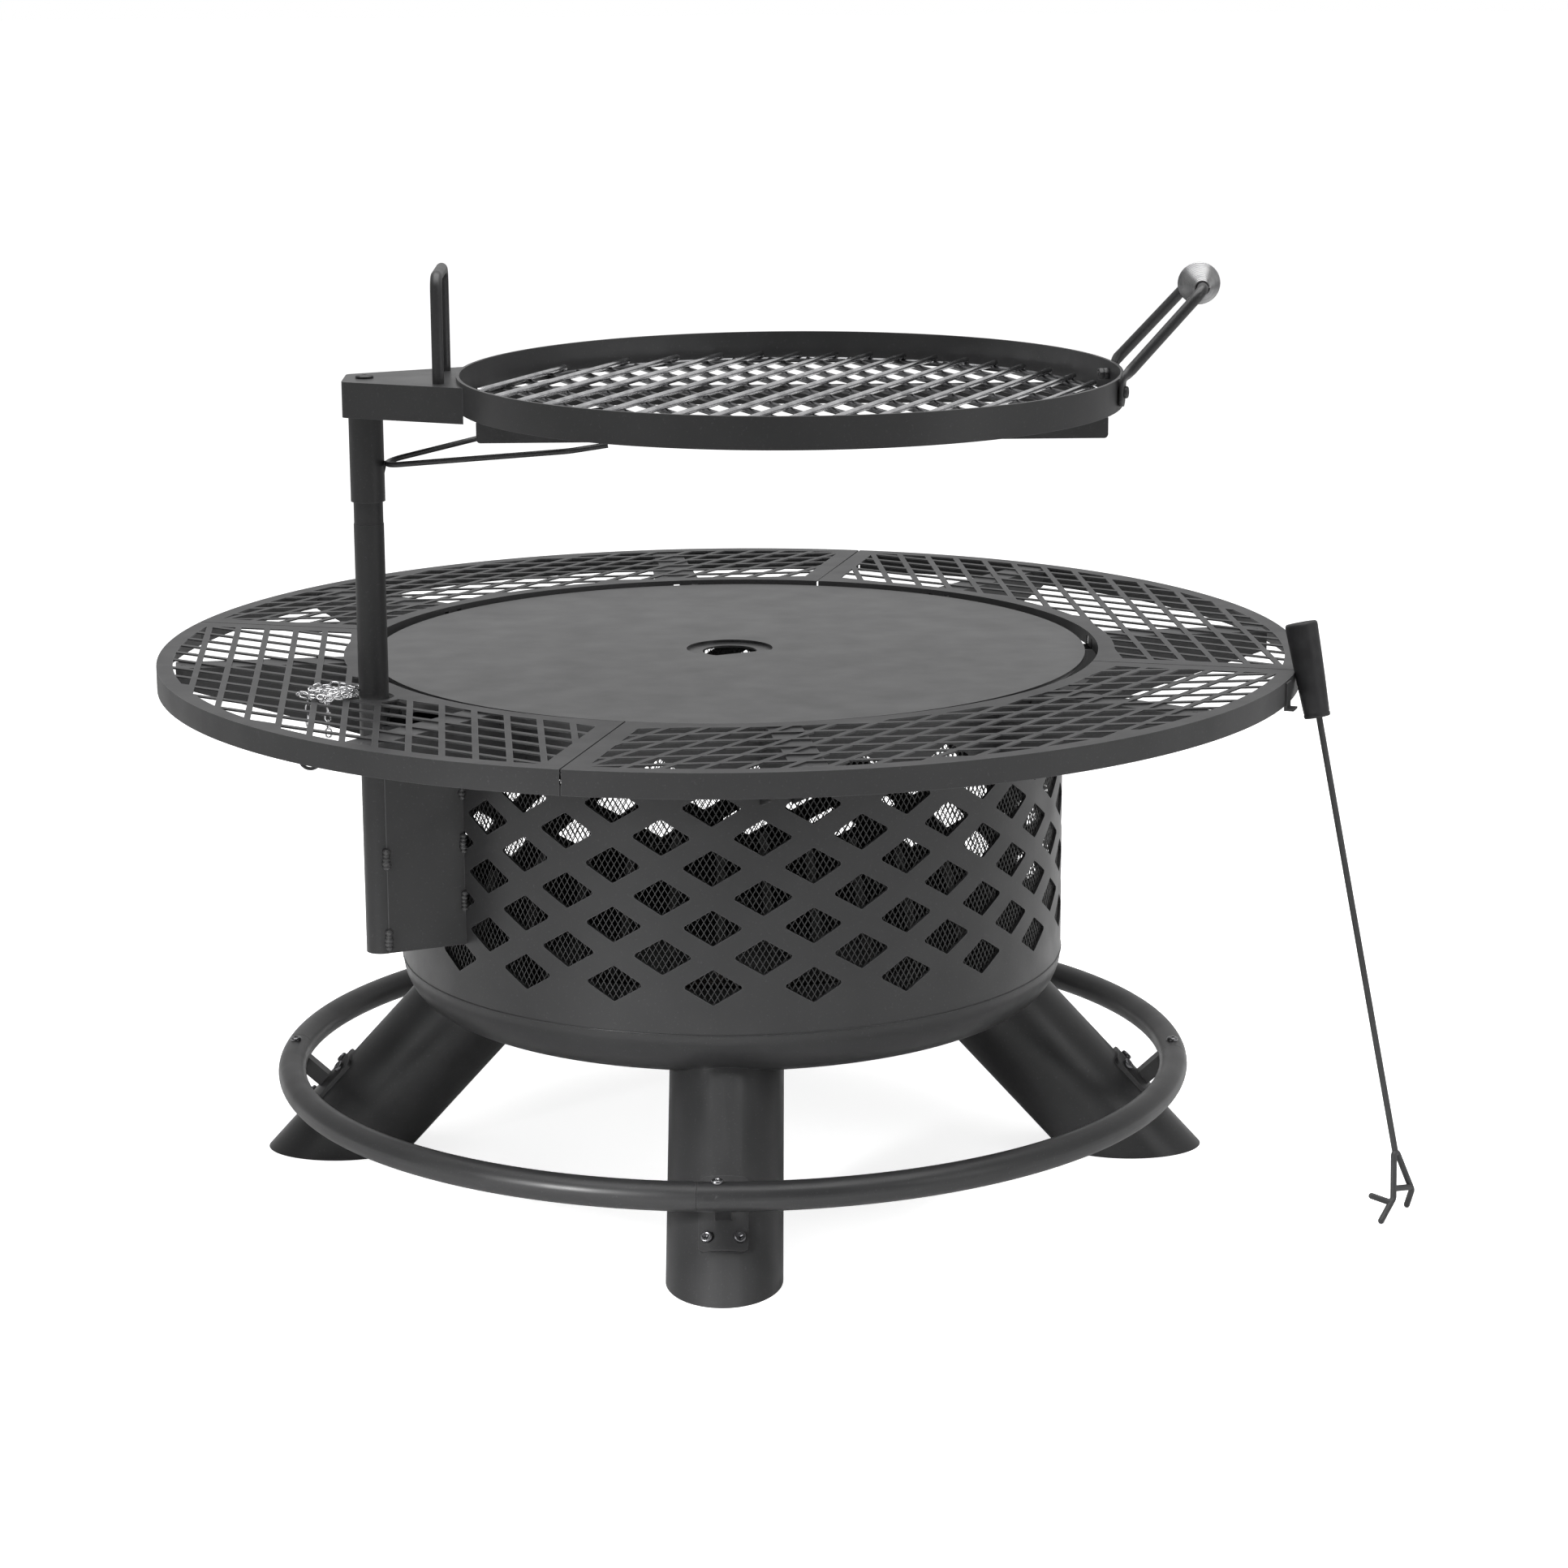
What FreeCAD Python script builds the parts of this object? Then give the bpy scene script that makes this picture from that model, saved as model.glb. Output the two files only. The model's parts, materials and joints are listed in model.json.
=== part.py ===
import FreeCAD, Part
import math
import os

# Round fire pit on four leaning tube legs: a cut-out fire bowl with a lid, a lattice table round it, and a
# cooking grill that swivels on a post beside the bowl. Millimetres; Z is up and the origin is on the floor,
# on the bowl's axis. Azimuths are in degrees from +X towards +Y.

V = FreeCAD.Vector
UP = V(0, 0, 1)
ORIGIN = V(0, 0, 0)

SHEET = 3.0  # thickness of the bent sheet steel
FIT = 0.1  # radial gap of a running fit
GAP = 0.3  # gap between pieces that lift apart

# Fire bowl
BOWL_R = 352.5
BOWL_SEAM_Z = 228.0
BOWL_BOTTOM_Z = 140.0
KNUCKLE_R = 50.0
FLANGE_R = 372.0
FLANGE_TOP_Z = 546.3
CUT_COLUMNS = 22
CUT_ROWS = 8
CUT_W = 61.5
CUT_H = 37.0
CUT_CORNER_R = 2.5
CUT_FIRST_Z = 277.2
CUT_ROW_STEP = 30.35
CUT_FIRST_AZ = 217.6
MESH_T = 1.2

# Legs and the foot ring round them
LEG_AZ = {"front": -91.6, "right": -1.6, "back": 88.4, "left": 178.4}
LEG_D = 116.0
LEG_FOOT_R = 428.5
LEG_LEAN = 42.2
LEG_LENGTH = 420.0
RING_R = 474.6
RING_Z = 102.5
RING_D = 29.5
RING_WALL = 2.0
RING_JOINT_AZ = -2.9  # from each leg to the joint beside it
RING_SPIGOT_ARC = 5.0
RING_SCREW_ARC = 2.3
RING_GAP_ARC = 0.07
SADDLE_S = 45.5  # along the leg from the floor to the middle of its saddle plate
SADDLE_W = 48.6
SADDLE_L = 79.0
SADDLE_T = 4.0
SADDLE_CORNER_R = 6.0
STRUT_SIDE = 16.0
SADDLE_BOLT_S = 25.0
SADDLE_BOLT_Y = 15.8
BOLT_R = 3.0
BOLT_HEAD_R = 6.0
BOLT_HEAD_H = 4.0
SOCKET_R = 2.9
SOCKET_DEPTH = 2.5

# Table
TABLE_R = 600.0
TABLE_TOP_Z = 552.6
TABLE_T = 1.6
OPENING_R = 389.0
RIM_H = 25.0
LIP_H = 15.0
FIRST_SEAM_AZ = -15.3
SEAM_GAP = 2.0
OUTER_BORDER = 17.0
INNER_BORDER = 17.0
SEAM_BORDER = 20.0
BAR_W = 6.2
BAR_PITCH = 31.5
BAR_ANGLE = 26.0  # of each family of bars from the panel's tangent
LATTICE_R = 495.0
SMALLEST_HOLE = 60.0  # mm2
ARM_OFF_AZ = 22.5  # of the two arms under a panel from its middle
ARM_W = 34.0
ARM_START_R = 393.0
ARM_END_R = 580.0
ARM_DEPTH_IN = 76.0
ARM_DEPTH_OUT = 20.0
ARM_BOLT_R = (402.0, 572.0)
LIP_SLOT_W = 7.0
LIP_SLOT_Y = 10.5

# Lid
LID_R = 375.0
PULL_R = 45.5
PULL_CHORD = 30.0
PULL_AZ = -64.4
PULL_RING_IN_R = 28.7
PULL_RING_OUT_R = 53.0
PULL_RING_T = 2.0

# Log grate inside the bowl
LOG_RING_R = 285.0
LOG_ROD_D = 10.0
LOG_FOOT_Z = 177.6
LOG_RING_Z = 262.0
LOG_BAR_PITCH = 50.0
LOG_BAR_X = -12.0
LOG_BARS = 11
LOG_FEET_AZ = (45.0, 135.0, 225.0, 315.0)

# Post beside the bowl
POST_X = -355.5
POST_Y = -245.5
POST_LOW_R = 15.0
POST_UP_R = 14.5
POST_BORE_R = 13.0
POST_BOTTOM_Z = 290.0
POST_SPLICE_Z = 727.0
SPIGOT_LENGTH = 100.0
SPIGOT_BORE_R = 10.5
PLUG_LENGTH = 23.0
POST_HOLE_R = 20.0
POST_BAND_W = 9.0
BRACKET_TOP_Z = 524.0
BRACKET_SPREAD = 32.0  # half the gap between its side plates at the bowl
WELD_R = 3.5
WELD_L = 13.0
WELD_OUT = 0.7  # how far the beads on the post are centred outside its surface
POST_WELD_Z = (304.0, 388.0)
BOWL_WELD_Z = (336.0, 396.0, 452.0)

# Grill that swivels on the post
GRILL_X = 60.7
GRILL_R = 326.2
GRILL_TOP_Z = 875.0
GRILL_H = 31.0
RAIL_Y = 130.0
RAIL_H = 19.5
RAIL_LEG = 14.0
RAIL_REACH = 300.5  # from the grill's middle to each end
RAIL_CORNER_R = 4.0
HUB_TOP_Z = 871.0
HUB_H = 35.0
HUB_BACK_X = -376.0
HUB_BACK_W = 60.0
HUB_FRONT_W = 158.0
HUB_CORNER_R = 8.0
SLEEVE_R = 17.0
SLEEVE_BOTTOM_Z = 749.5
CAP_BOLT_R = 5.0
CAP_HEAD_R = 9.0
CAP_HEAD_H = 3.6
CAP_SHANK = 22.0
BRACE_D = 5.5
BRACE_BEND = 30.0
BRACE_APEX_X = -362.8  # where its two arms would meet if they weren't bent round
BRACE_APEX_Z = 782.5
BRACE_KNEE_X = -152.0
BRACE_KNEE_DROP = 5.5  # from its ends to its knees
BRACE_END_X = -115.0
LUG_REACH = 3.0
LUG_Z = (777.0, 789.0)
LIFT_D = 11.5
LIFT_X = -280.0
LIFT_Y = 50.0
LIFT_TOP_Z = 979.0
LIFT_BEND = 14.0
HANDLE_AZ = -2.5  # the swing handle's place round the ring
ARM_ROD_D = 11.0
ARM_ROD_Y = 59.0
ARM_ROD_TOP_X = 459.5
ARM_ROD_TOP_Z = 958.8
ARM_FOOT_Z = 874.5
ARM_ROD_BEND = 13.0
TAB_W = 19.0
TAB_T = 5.0
TAB_Z = (848.5, 874.0)
TAB_OFF_AZ = 12.4  # of each tab from the handle's middle
TAB_BOLT_Z = 862.0
NUT_R = 6.3  # to its corners
NUT_T = 5.0
NUTS = 2  # on each bolt
TAB_SHANK = 10.9  # how far the bolt stands inside the ring
COIL_MID_R = 21.5
COIL_END_R = 8.0
COIL_WIRE_D = 3.2
COIL_TURNS = 28

# Wire grate that drops into the grill
WIRE_D = 6.0
HOOP_R = 306.0
WIRE_PITCH = 36.6
WIRE_ANGLE = 66.0
WIRE_REACH = 309.0
WIRE_COUNT = 8  # wires on each side of the middle one

# Poker leaning on the table's rim
POKER_FOOT = V(690.0, -261.0, 0)
POKER_RIM = V(592.4, -170.6, 550)
POKER_GRIP_S = (522.0, 620.0)
POKER_GRIP_R = (11.2, 14.6)
POKER_ROD_D = 6.4
POKER_FORK_S = 66.0
POKER_CORNER_S = 74.5
POKER_TOP_BEND = 4.0
POKER_KNEE_BEND = 8.0
POKER_ACROSS = V(0.667, 0.745, 0)  # the way the two legs of the fork spread
POKER_KNEE_S = 22.5
POKER_KNEE_OUT = 17.5
POKER_TIPS = ((659.6, -287.0), (694.3, -238.0))
POKER_BAR_AT = (0.18, 0.06)  # the cross bar's ends, from each knee towards the top corner
POKER_PRONG_AT = 0.2  # from the first knee to its tip
POKER_PRONG = V(-19.5, 3, 6.5)
POKER_GRIP_EDGE = 1.2
HOOK_AZ = -20.5
HOOK_W = 18.0
HOOK_T = 2.0
HOOK_REACH = 9.0
HOOK_DROP = 5.0  # below the table's rim

# Chain hanging by the post
LINK_WIRE = 2.2
LINK_L = 15.0
LINK_W = 10.0
LINK_PITCH = 10.3
CHAIN_X = -419.5
CHAIN_Y = -260.0
CHAIN_TOP_Z = 551.7
CHAIN_LINKS = 4
PILE_LOOPS = 3
PILE_LINKS = 6
PILE_START = V(-13.0, 0.0, 0)  # from the hanging chain to the first run on the table
PILE_STEP = V(-11.5, 9.0, 0)
PILE_HEADING = 62.0
PILE_TURN = 9.0
LINK_SLACK = 0.1
CLIP_WIRE = 2.6
CLIP_L = 20.0
CLIP_W = 11.0
KEY_RING_R = 12.0
KEY_RING_WIRE = 3.6


def polar(r, az, z=0.0):
    a = math.radians(az)
    return V(r * math.cos(a), r * math.sin(a), z)


def turned(shape, az):
    done = shape.copy()
    done.rotate(ORIGIN, UP, az)
    return done


def moved(shape, x, y, z=0.0):
    done = shape.copy()
    done.translate(V(x, y, z))
    return done


def disc(r, z0, z1, x=0.0, y=0.0):
    return Part.makeCylinder(r, z1 - z0, V(x, y, z0))


def tube(r_out, r_in, z0, z1, x=0.0, y=0.0):
    return disc(r_out, z0, z1, x, y).cut(disc(r_in, z0, z1, x, y))


def box(x0, x1, y0, y1, z0, z1):
    return Part.makeBox(x1 - x0, y1 - y0, z1 - z0, V(x0, y0, z0))


def prism(points, z0, z1):
    """The solid over a polygon of (x, y) points."""
    wire = Part.makePolygon([V(x, y, z0) for x, y in points] + [V(*points[0], z0)])
    return Part.Face(wire).extrude(V(0, 0, z1 - z0))


def side_prism(points, y0, y1):
    """The solid over a polygon of (x, z) points, from y0 to y1."""
    wire = Part.makePolygon([V(x, y0, z) for x, z in points] + [V(points[0][0], y0, points[0][1])])
    return Part.Face(wire).extrude(V(0, y1 - y0, 0))


def fused(shapes):
    return shapes[0].multiFuse(shapes[1:]).removeSplitter() if len(shapes) > 1 else shapes[0]


def rod(p, q, d):
    return Part.makeCylinder(d / 2, (q - p).Length, p, q - p)


def bent_rod(points, d, *bends):
    """A round rod along the points. Its inner corners are bent to one radius, or to a radius each."""
    if len(bends) == 1:
        bends = bends * (len(points) - 2)
    edges = []
    start = points[0]
    for before, corner, after, bend in zip(points, points[1:], points[2:], bends):
        to_before = (before - corner).normalize()
        to_after = (after - corner).normalize()
        half = to_before.getAngle(to_after) / 2
        a = corner + to_before * (bend / math.tan(half))
        b = corner + to_after * (bend / math.tan(half))
        middle = (to_before + to_after).normalize()
        nearest = corner + middle * (bend / math.sin(half) - bend)
        edges += [Part.makeLine(start, a), Part.Arc(a, nearest, b).toShape()]
        start = b
    edges.append(Part.makeLine(start, points[-1]))
    path = Part.Wire(edges)
    section = Part.Wire(Part.makeCircle(d / 2, points[0], points[1] - points[0]))
    return path.makePipeShell([section], True, True)


def hoop(r, d, z, x=0.0, y=0.0):
    return Part.makeTorus(r, d / 2, V(x, y, z))


def save(name, *solids):
    shape = solids[0] if len(solids) == 1 else Part.makeCompound(list(solids))
    shape.exportStep("parts/" + name + ".step")


# The fire bowl


def dish(inset):
    """The dished bottom's profile edges, moved in from the outside: a crown arc and a knuckle arc."""
    depth = BOWL_SEAM_Z - BOWL_BOTTOM_Z
    flat_r = BOWL_R - KNUCKLE_R
    crown_r = (depth**2 - KNUCKLE_R**2 + flat_r**2) / (2 * (depth - KNUCKLE_R))
    crown = V(0, 0, BOWL_BOTTOM_Z + crown_r)
    knuckle = V(flat_r, 0, BOWL_SEAM_Z)
    across = (knuckle - crown).normalize()
    start = knuckle + V(KNUCKLE_R - inset, 0, 0)
    meet = crown + across * (crown_r - inset)
    bottom = V(0, 0, BOWL_BOTTOM_Z + inset)
    between = (V(1, 0, 0) + across).normalize()
    knuckle_arc = Part.Arc(start, knuckle + between * (KNUCKLE_R - inset), meet).toShape()
    between = (across - UP).normalize()
    crown_arc = Part.Arc(meet, crown + between * (crown_r - inset), bottom).toShape()
    return start, bottom, [knuckle_arc, crown_arc]


def bowl_bottom():
    start, bottom, outside = dish(0)
    start_in, bottom_in, inside = dish(SHEET)
    edges = outside + inside + [Part.makeLine(bottom, bottom_in), Part.makeLine(start, start_in)]
    return Part.Face(Part.Wire(Part.sortEdges(edges)[0])).revolve(ORIGIN, UP, 360)


def bowl_space():
    """Everything inside the bowl's outer surface."""
    start, bottom, outside = dish(0)
    centre = V(0, 0, BOWL_SEAM_Z)
    edges = outside + [Part.makeLine(bottom, centre), Part.makeLine(centre, start)]
    lower = Part.Face(Part.Wire(Part.sortEdges(edges)[0])).revolve(ORIGIN, UP, 360)
    return lower.fuse(disc(BOWL_R, BOWL_SEAM_Z, FLANGE_TOP_Z))


def bowl_wall():
    corners = [V(0, -CUT_W / 2, 0), V(0, 0, CUT_H / 2), V(0, CUT_W / 2, 0), V(0, 0, -CUT_H / 2)]
    cut = Part.Face(Part.makePolygon(corners + corners[:1])).extrude(V(4 * SHEET, 0, 0))
    cut = cut.makeFillet(CUT_CORNER_R, [e for e in cut.Edges if abs(e.tangentAt(0).x) > 0.9])
    cut.translate(V(BOWL_R - 3 * SHEET, 0, 0))
    step = 360 / CUT_COLUMNS
    cuts = []
    for row in range(CUT_ROWS):
        for column in range(CUT_COLUMNS):
            az = CUT_FIRST_AZ + step * (column + row % 2 / 2)
            cuts.append(moved(turned(cut, az), 0, 0, CUT_FIRST_Z + row * CUT_ROW_STEP))
    return tube(BOWL_R, BOWL_R - SHEET, BOWL_SEAM_Z, FLANGE_TOP_Z).cut(cuts)


def spark_mesh():
    outside = BOWL_R - SHEET
    return tube(outside, outside - MESH_T, BOWL_SEAM_Z, FLANGE_TOP_Z)


def bowl_flange():
    return tube(FLANGE_R, BOWL_R, FLANGE_TOP_Z - SHEET, FLANGE_TOP_Z)


# Legs. Each is built with its axis along Z, its foot at the origin and +X outwards, then leaned and turned.


def leaned(shape, az):
    done = shape.copy()
    done.rotate(ORIGIN, V(0, 1, 0), -LEG_LEAN)
    done.translate(V(LEG_FOOT_R, 0, 0))
    return turned(done, az)


def saddle_bolt(s, y):
    """A socket head bolt square to the saddle plate, as (bolt, plain shank)."""
    out = V(math.sqrt((LEG_D / 2 + SADDLE_T) ** 2 - y**2), y, 0)
    along = V(out.x, out.y, 0).normalize()
    seat = out + V(0, 0, s)
    shank = Part.makeCylinder(BOLT_R, SADDLE_T + 3 * SHEET, seat - along * (SADDLE_T + 2 * SHEET), along)
    head = Part.makeCylinder(BOLT_HEAD_R, BOLT_HEAD_H, seat, along)
    socket = Part.makeCylinder(SOCKET_R, SOCKET_DEPTH, seat + along * (BOLT_HEAD_H - SOCKET_DEPTH), along)
    plate = disc(LEG_D / 2 + SADDLE_T, s - 2 * BOLT_HEAD_R, s + 2 * BOLT_HEAD_R)
    return shank.fuse(head.cut(plate)).cut(socket), shank


def saddle_bolts():
    lows_highs = (SADDLE_S - SADDLE_BOLT_S, SADDLE_S + SADDLE_BOLT_S)
    return [saddle_bolt(s, y) for s in lows_highs for y in (-SADDLE_BOLT_Y, SADDLE_BOLT_Y)]


def leg(space, az):
    body = tube(LEG_D / 2, LEG_D / 2 - SHEET, -LEG_D, LEG_LENGTH)
    body = leaned(body.cut([shank for bolt, shank in saddle_bolts()]), az)
    return body.cut([box(-2 * TABLE_R, 2 * TABLE_R, -2 * TABLE_R, 2 * TABLE_R, -LEG_D * 2, 0), space])


def saddle(az):
    """The curved plate bolted to a leg, with the square strut that carries the foot ring."""
    low, high = SADDLE_S - SADDLE_L / 2, SADDLE_S + SADDLE_L / 2
    plate = tube(LEG_D / 2 + SADDLE_T, LEG_D / 2, low, high)
    outline = box(0, LEG_D, -SADDLE_W / 2, SADDLE_W / 2, low, high)
    outline = outline.makeFillet(
        SADDLE_CORNER_R, [e for e in outline.Edges if e.Length == LEG_D]
    )
    plate = plate.common(outline).cut([shank for bolt, shank in saddle_bolts()])
    half = STRUT_SIDE / 2
    strut = box(LEG_D / 2 + SADDLE_T / 2, RING_R - LEG_D, -half, half, SADDLE_S - half, SADDLE_S + half)
    strut = leaned(strut, az).common(disc(RING_R, 0, RING_Z))
    strut = strut.cut(hoop(RING_R, RING_D, RING_Z))
    return leaned(plate, az).fuse(strut)


def ring_piece(az0, az1, r_out, r_in):
    """A stretch of round tube or rod round the foot ring's circle."""
    section = Part.Face(Part.Wire(Part.makeCircle(r_out, V(RING_R, 0, RING_Z), V(0, 1, 0))))
    if r_in:
        section = section.cut(Part.Face(Part.Wire(Part.makeCircle(r_in, V(RING_R, 0, RING_Z), V(0, 1, 0)))))
    return turned(section.revolve(ORIGIN, UP, az1 - az0), az0)


def ring_screw(joint_az):
    """A pan head screw down through the top of a foot ring joint, as (screw, plain shank)."""
    az = joint_az + RING_SCREW_ARC
    shank = Part.makeCylinder(BOLT_R, RING_D / 2, polar(RING_R, az, RING_Z + 1.5))
    top = polar(RING_R, az, RING_Z + RING_D / 2 - 0.6)
    head = Part.makeCylinder(BOLT_HEAD_R, BOLT_HEAD_H, top).cut(hoop(RING_R, RING_D, RING_Z))
    socket = Part.makeCylinder(SOCKET_R, SOCKET_DEPTH, top + UP * (BOLT_HEAD_H - SOCKET_DEPTH))
    return shank.common(disc(TABLE_R, 0, top.z + 1)).fuse(head).cut(socket), shank


def ring_segment(az):
    """A quarter of the foot ring, with the swaged end that plugs into the next quarter."""
    outer = RING_D / 2
    bore = outer - RING_WALL
    start, end = az + RING_JOINT_AZ, az + RING_JOINT_AZ + 90
    pipe = ring_piece(start, end - RING_GAP_ARC, outer, bore)
    spigot = ring_piece(end - RING_SPIGOT_ARC / 2, end + RING_SPIGOT_ARC, bore, bore - RING_WALL)
    return pipe.fuse(spigot).cut([ring_screw(start)[1], ring_screw(end)[1]])


# Table


def table_core(x, y, r):
    """A disc right through the table's sheet, to cut a round hole or keep its edge."""
    return disc(r, TABLE_TOP_Z - 2 * SHEET, TABLE_TOP_Z + SHEET, x, y)


def wedge(offset, z0, z1):
    """The quarter on the +X side, moved in from both seams by the offset."""
    apex = offset * math.sqrt(2)
    return prism([(apex, 0), (apex + TABLE_R, -TABLE_R), (apex + TABLE_R, TABLE_R)], z0, z1)


def lattice_holes(keep_out):
    """The rhombic holes of one panel, clipped to its borders."""
    low, high = TABLE_TOP_Z - 2 * SHEET, TABLE_TOP_Z + SHEET
    field = tube(TABLE_R - OUTER_BORDER, OPENING_R + INNER_BORDER, low, high)
    field = field.common(wedge(SEAM_BORDER + SEAM_GAP / 2, low, high)).cut(keep_out)
    half_x = BAR_PITCH / math.cos(math.radians(BAR_ANGLE)) / 2
    half_y = BAR_PITCH / math.sin(math.radians(BAR_ANGLE)) / 2
    open_x = half_x * (1 - BAR_W / BAR_PITCH)
    open_y = half_y * (1 - BAR_W / BAR_PITCH)
    hole = prism([(-open_x, 0), (0, -open_y), (open_x, 0), (0, open_y)], low, high)
    columns = int(TABLE_R / half_x)
    rows = int(TABLE_R / half_y)
    holes = []
    for i in range(-columns, columns):
        for j in range(-rows, rows):
            x, y = LATTICE_R + i * half_x, j * half_y
            reach = math.hypot(x, y)
            near = OPENING_R - half_y < reach < TABLE_R + half_y and x > 0 and abs(y) < x + half_y
            if (i + j) % 2 or not near:
                continue
            for piece in moved(hole, x, y).common(field).Solids:
                if piece.Volume > SMALLEST_HOLE * (high - low):
                    holes.append(piece)
    return holes


def table_panel(middle_az):
    """A quarter of the table: a lattice plate with a turned-down rim and a turned-down lip at the opening."""
    top, under = TABLE_TOP_Z, TABLE_TOP_Z - TABLE_T
    plate = tube(TABLE_R, OPENING_R, under, top)
    rim = tube(TABLE_R, TABLE_R - TABLE_T, top - RIM_H, under)
    lip = tube(OPENING_R + TABLE_T, OPENING_R, top - LIP_H, under)
    panel = fused([plate, rim, lip]).common(wedge(SEAM_GAP / 2, top - RIM_H, top))
    post = turned(table_core(POST_X, POST_Y, POST_HOLE_R), -middle_az)
    band = turned(table_core(POST_X, POST_Y, POST_HOLE_R + POST_BAND_W), -middle_az)
    holes = lattice_holes(band)
    slot = box(OPENING_R - 1, OPENING_R + SHEET, -LIP_SLOT_W / 2, LIP_SLOT_W / 2, top - LIP_H, under - SHEET)
    slots = [
        turned(moved(slot, 0, side * LIP_SLOT_Y), arm)
        for arm in (-ARM_OFF_AZ, ARM_OFF_AZ)
        for side in (-1, 1)
    ]
    return turned(panel.cut(holes + slots + [post]), middle_az)


def arm_bolt(r):
    """A bolt up into the table, seated under the arm, as (bolt, plain shank)."""
    seat = TABLE_TOP_Z - TABLE_T - SHEET
    shank = disc(BOLT_R, seat, seat + SHEET, r, 0)
    head = disc(BOLT_HEAD_R, seat - BOLT_HEAD_H, seat, r, 0)
    socket = disc(SOCKET_R, seat - BOLT_HEAD_H, seat - BOLT_HEAD_H + SOCKET_DEPTH, r, 0)
    return shank.fuse(head).cut(socket), shank


def table_arm(az):
    """A tapering channel from the bowl's wall to the table's rim, open below."""
    top = TABLE_TOP_Z - TABLE_T
    lip_under = TABLE_TOP_Z - LIP_H
    outline = [
        (BOWL_R - SHEET, lip_under),
        (ARM_START_R, lip_under),
        (ARM_START_R, top),
        (ARM_END_R, top),
        (ARM_END_R, top - ARM_DEPTH_OUT),
        (BOWL_R - SHEET, lip_under - ARM_DEPTH_IN),
    ]
    web = side_prism(outline, -ARM_W / 2, -ARM_W / 2 + SHEET)
    strip = box(ARM_START_R, ARM_END_R, -ARM_W / 2, ARM_W / 2, top - SHEET, top)
    arm = fused([web, moved(web, 0, ARM_W - SHEET), strip])
    return turned(arm.cut([disc(BOWL_R, 0, top)] + [arm_bolt(r)[1] for r in ARM_BOLT_R]), az)


# Lid and log grate


def lid_plate():
    under = FLANGE_TOP_Z + GAP
    pull = disc(PULL_R, under, under + SHEET)
    kept = box(PULL_CHORD, PULL_R, -PULL_R, PULL_R, under, under + SHEET)
    return disc(LID_R, under, under + SHEET).cut(pull.cut(turned(kept, PULL_AZ)))


def lid_pull_ring():
    top = FLANGE_TOP_Z + GAP
    return tube(PULL_RING_OUT_R, PULL_RING_IN_R, top - PULL_RING_T, top)


def log_grate_frame():
    """The ring and its four feet, which stand on the dished bottom."""
    ring = hoop(LOG_RING_R, LOG_ROD_D, LOG_RING_Z)
    feet = []
    for az in LOG_FEET_AZ:
        low, high = polar(LOG_RING_R, az, LOG_FOOT_Z), polar(LOG_RING_R, az, LOG_RING_Z)
        feet.append(rod(low, high, LOG_ROD_D).cut(ring))
    return [ring] + feet


def log_grate_bars():
    bars = []
    for i in range(LOG_BARS):
        x = LOG_BAR_X + (i - LOG_BARS // 2) * LOG_BAR_PITCH
        reach = math.sqrt((LOG_RING_R + LOG_ROD_D / 2) ** 2 - x**2)
        z = LOG_RING_Z + LOG_ROD_D
        bars.append(rod(V(x, -reach, z), V(x, reach, z), LOG_ROD_D))
    return bars


# Post


def post_lower():
    return tube(POST_LOW_R, POST_BORE_R, POST_BOTTOM_Z, POST_SPLICE_Z, POST_X, POST_Y)


def post_upper():
    """The upper post with its plug end, which drops into the lower post."""
    low, splice = POST_SPLICE_Z - SPIGOT_LENGTH, POST_SPLICE_Z + GAP
    top = HUB_TOP_Z - SHEET - GAP
    spigot = tube(POST_BORE_R - FIT, SPIGOT_BORE_R, low, splice, POST_X, POST_Y)
    body = tube(POST_UP_R, SPIGOT_BORE_R, splice, top, POST_X, POST_Y)
    plug = tube(SPIGOT_BORE_R, CAP_BOLT_R, top - PLUG_LENGTH, top, POST_X, POST_Y)
    return fused([spigot, body, plug])


def cap_bolt():
    seat = HUB_TOP_Z + GAP
    shank = disc(CAP_BOLT_R, HUB_TOP_Z - CAP_SHANK, seat, POST_X, POST_Y)
    head = disc(CAP_HEAD_R, seat, seat + CAP_HEAD_H, POST_X, POST_Y)
    head = head.makeFillet(CAP_HEAD_H * 0.6, [e for e in head.Edges if e.BoundBox.ZMin > seat + 1])
    socket = disc(SOCKET_R, seat + CAP_HEAD_H - SOCKET_DEPTH, seat + CAP_HEAD_H, POST_X, POST_Y)
    return shank.fuse(head).cut(socket)


def bowl_and_post():
    """Solid cores that the bracket and its welds are cut to."""
    return [disc(BOWL_R, 0, TABLE_TOP_Z), disc(POST_LOW_R, 0, TABLE_TOP_Z, POST_X, POST_Y)]


def post_bracket_sides():
    """Two plates from the post's flanks to the bowl, built with the post on +X and turned into place."""
    reach = math.hypot(POST_X, POST_Y)
    az = math.degrees(math.atan2(POST_Y, POST_X))
    wall = BOWL_R - SHEET
    sides = []
    for side in (-1, 1):
        near, far, inward = side * POST_LOW_R, side * BRACKET_SPREAD, side * SHEET
        points = [(reach, near), (wall, far), (wall, far - inward), (reach, near - inward)]
        plate = turned(prism(points, POST_BOTTOM_Z, BRACKET_TOP_Z), az)
        sides.append(plate.cut(bowl_and_post()))
    return sides


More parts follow.
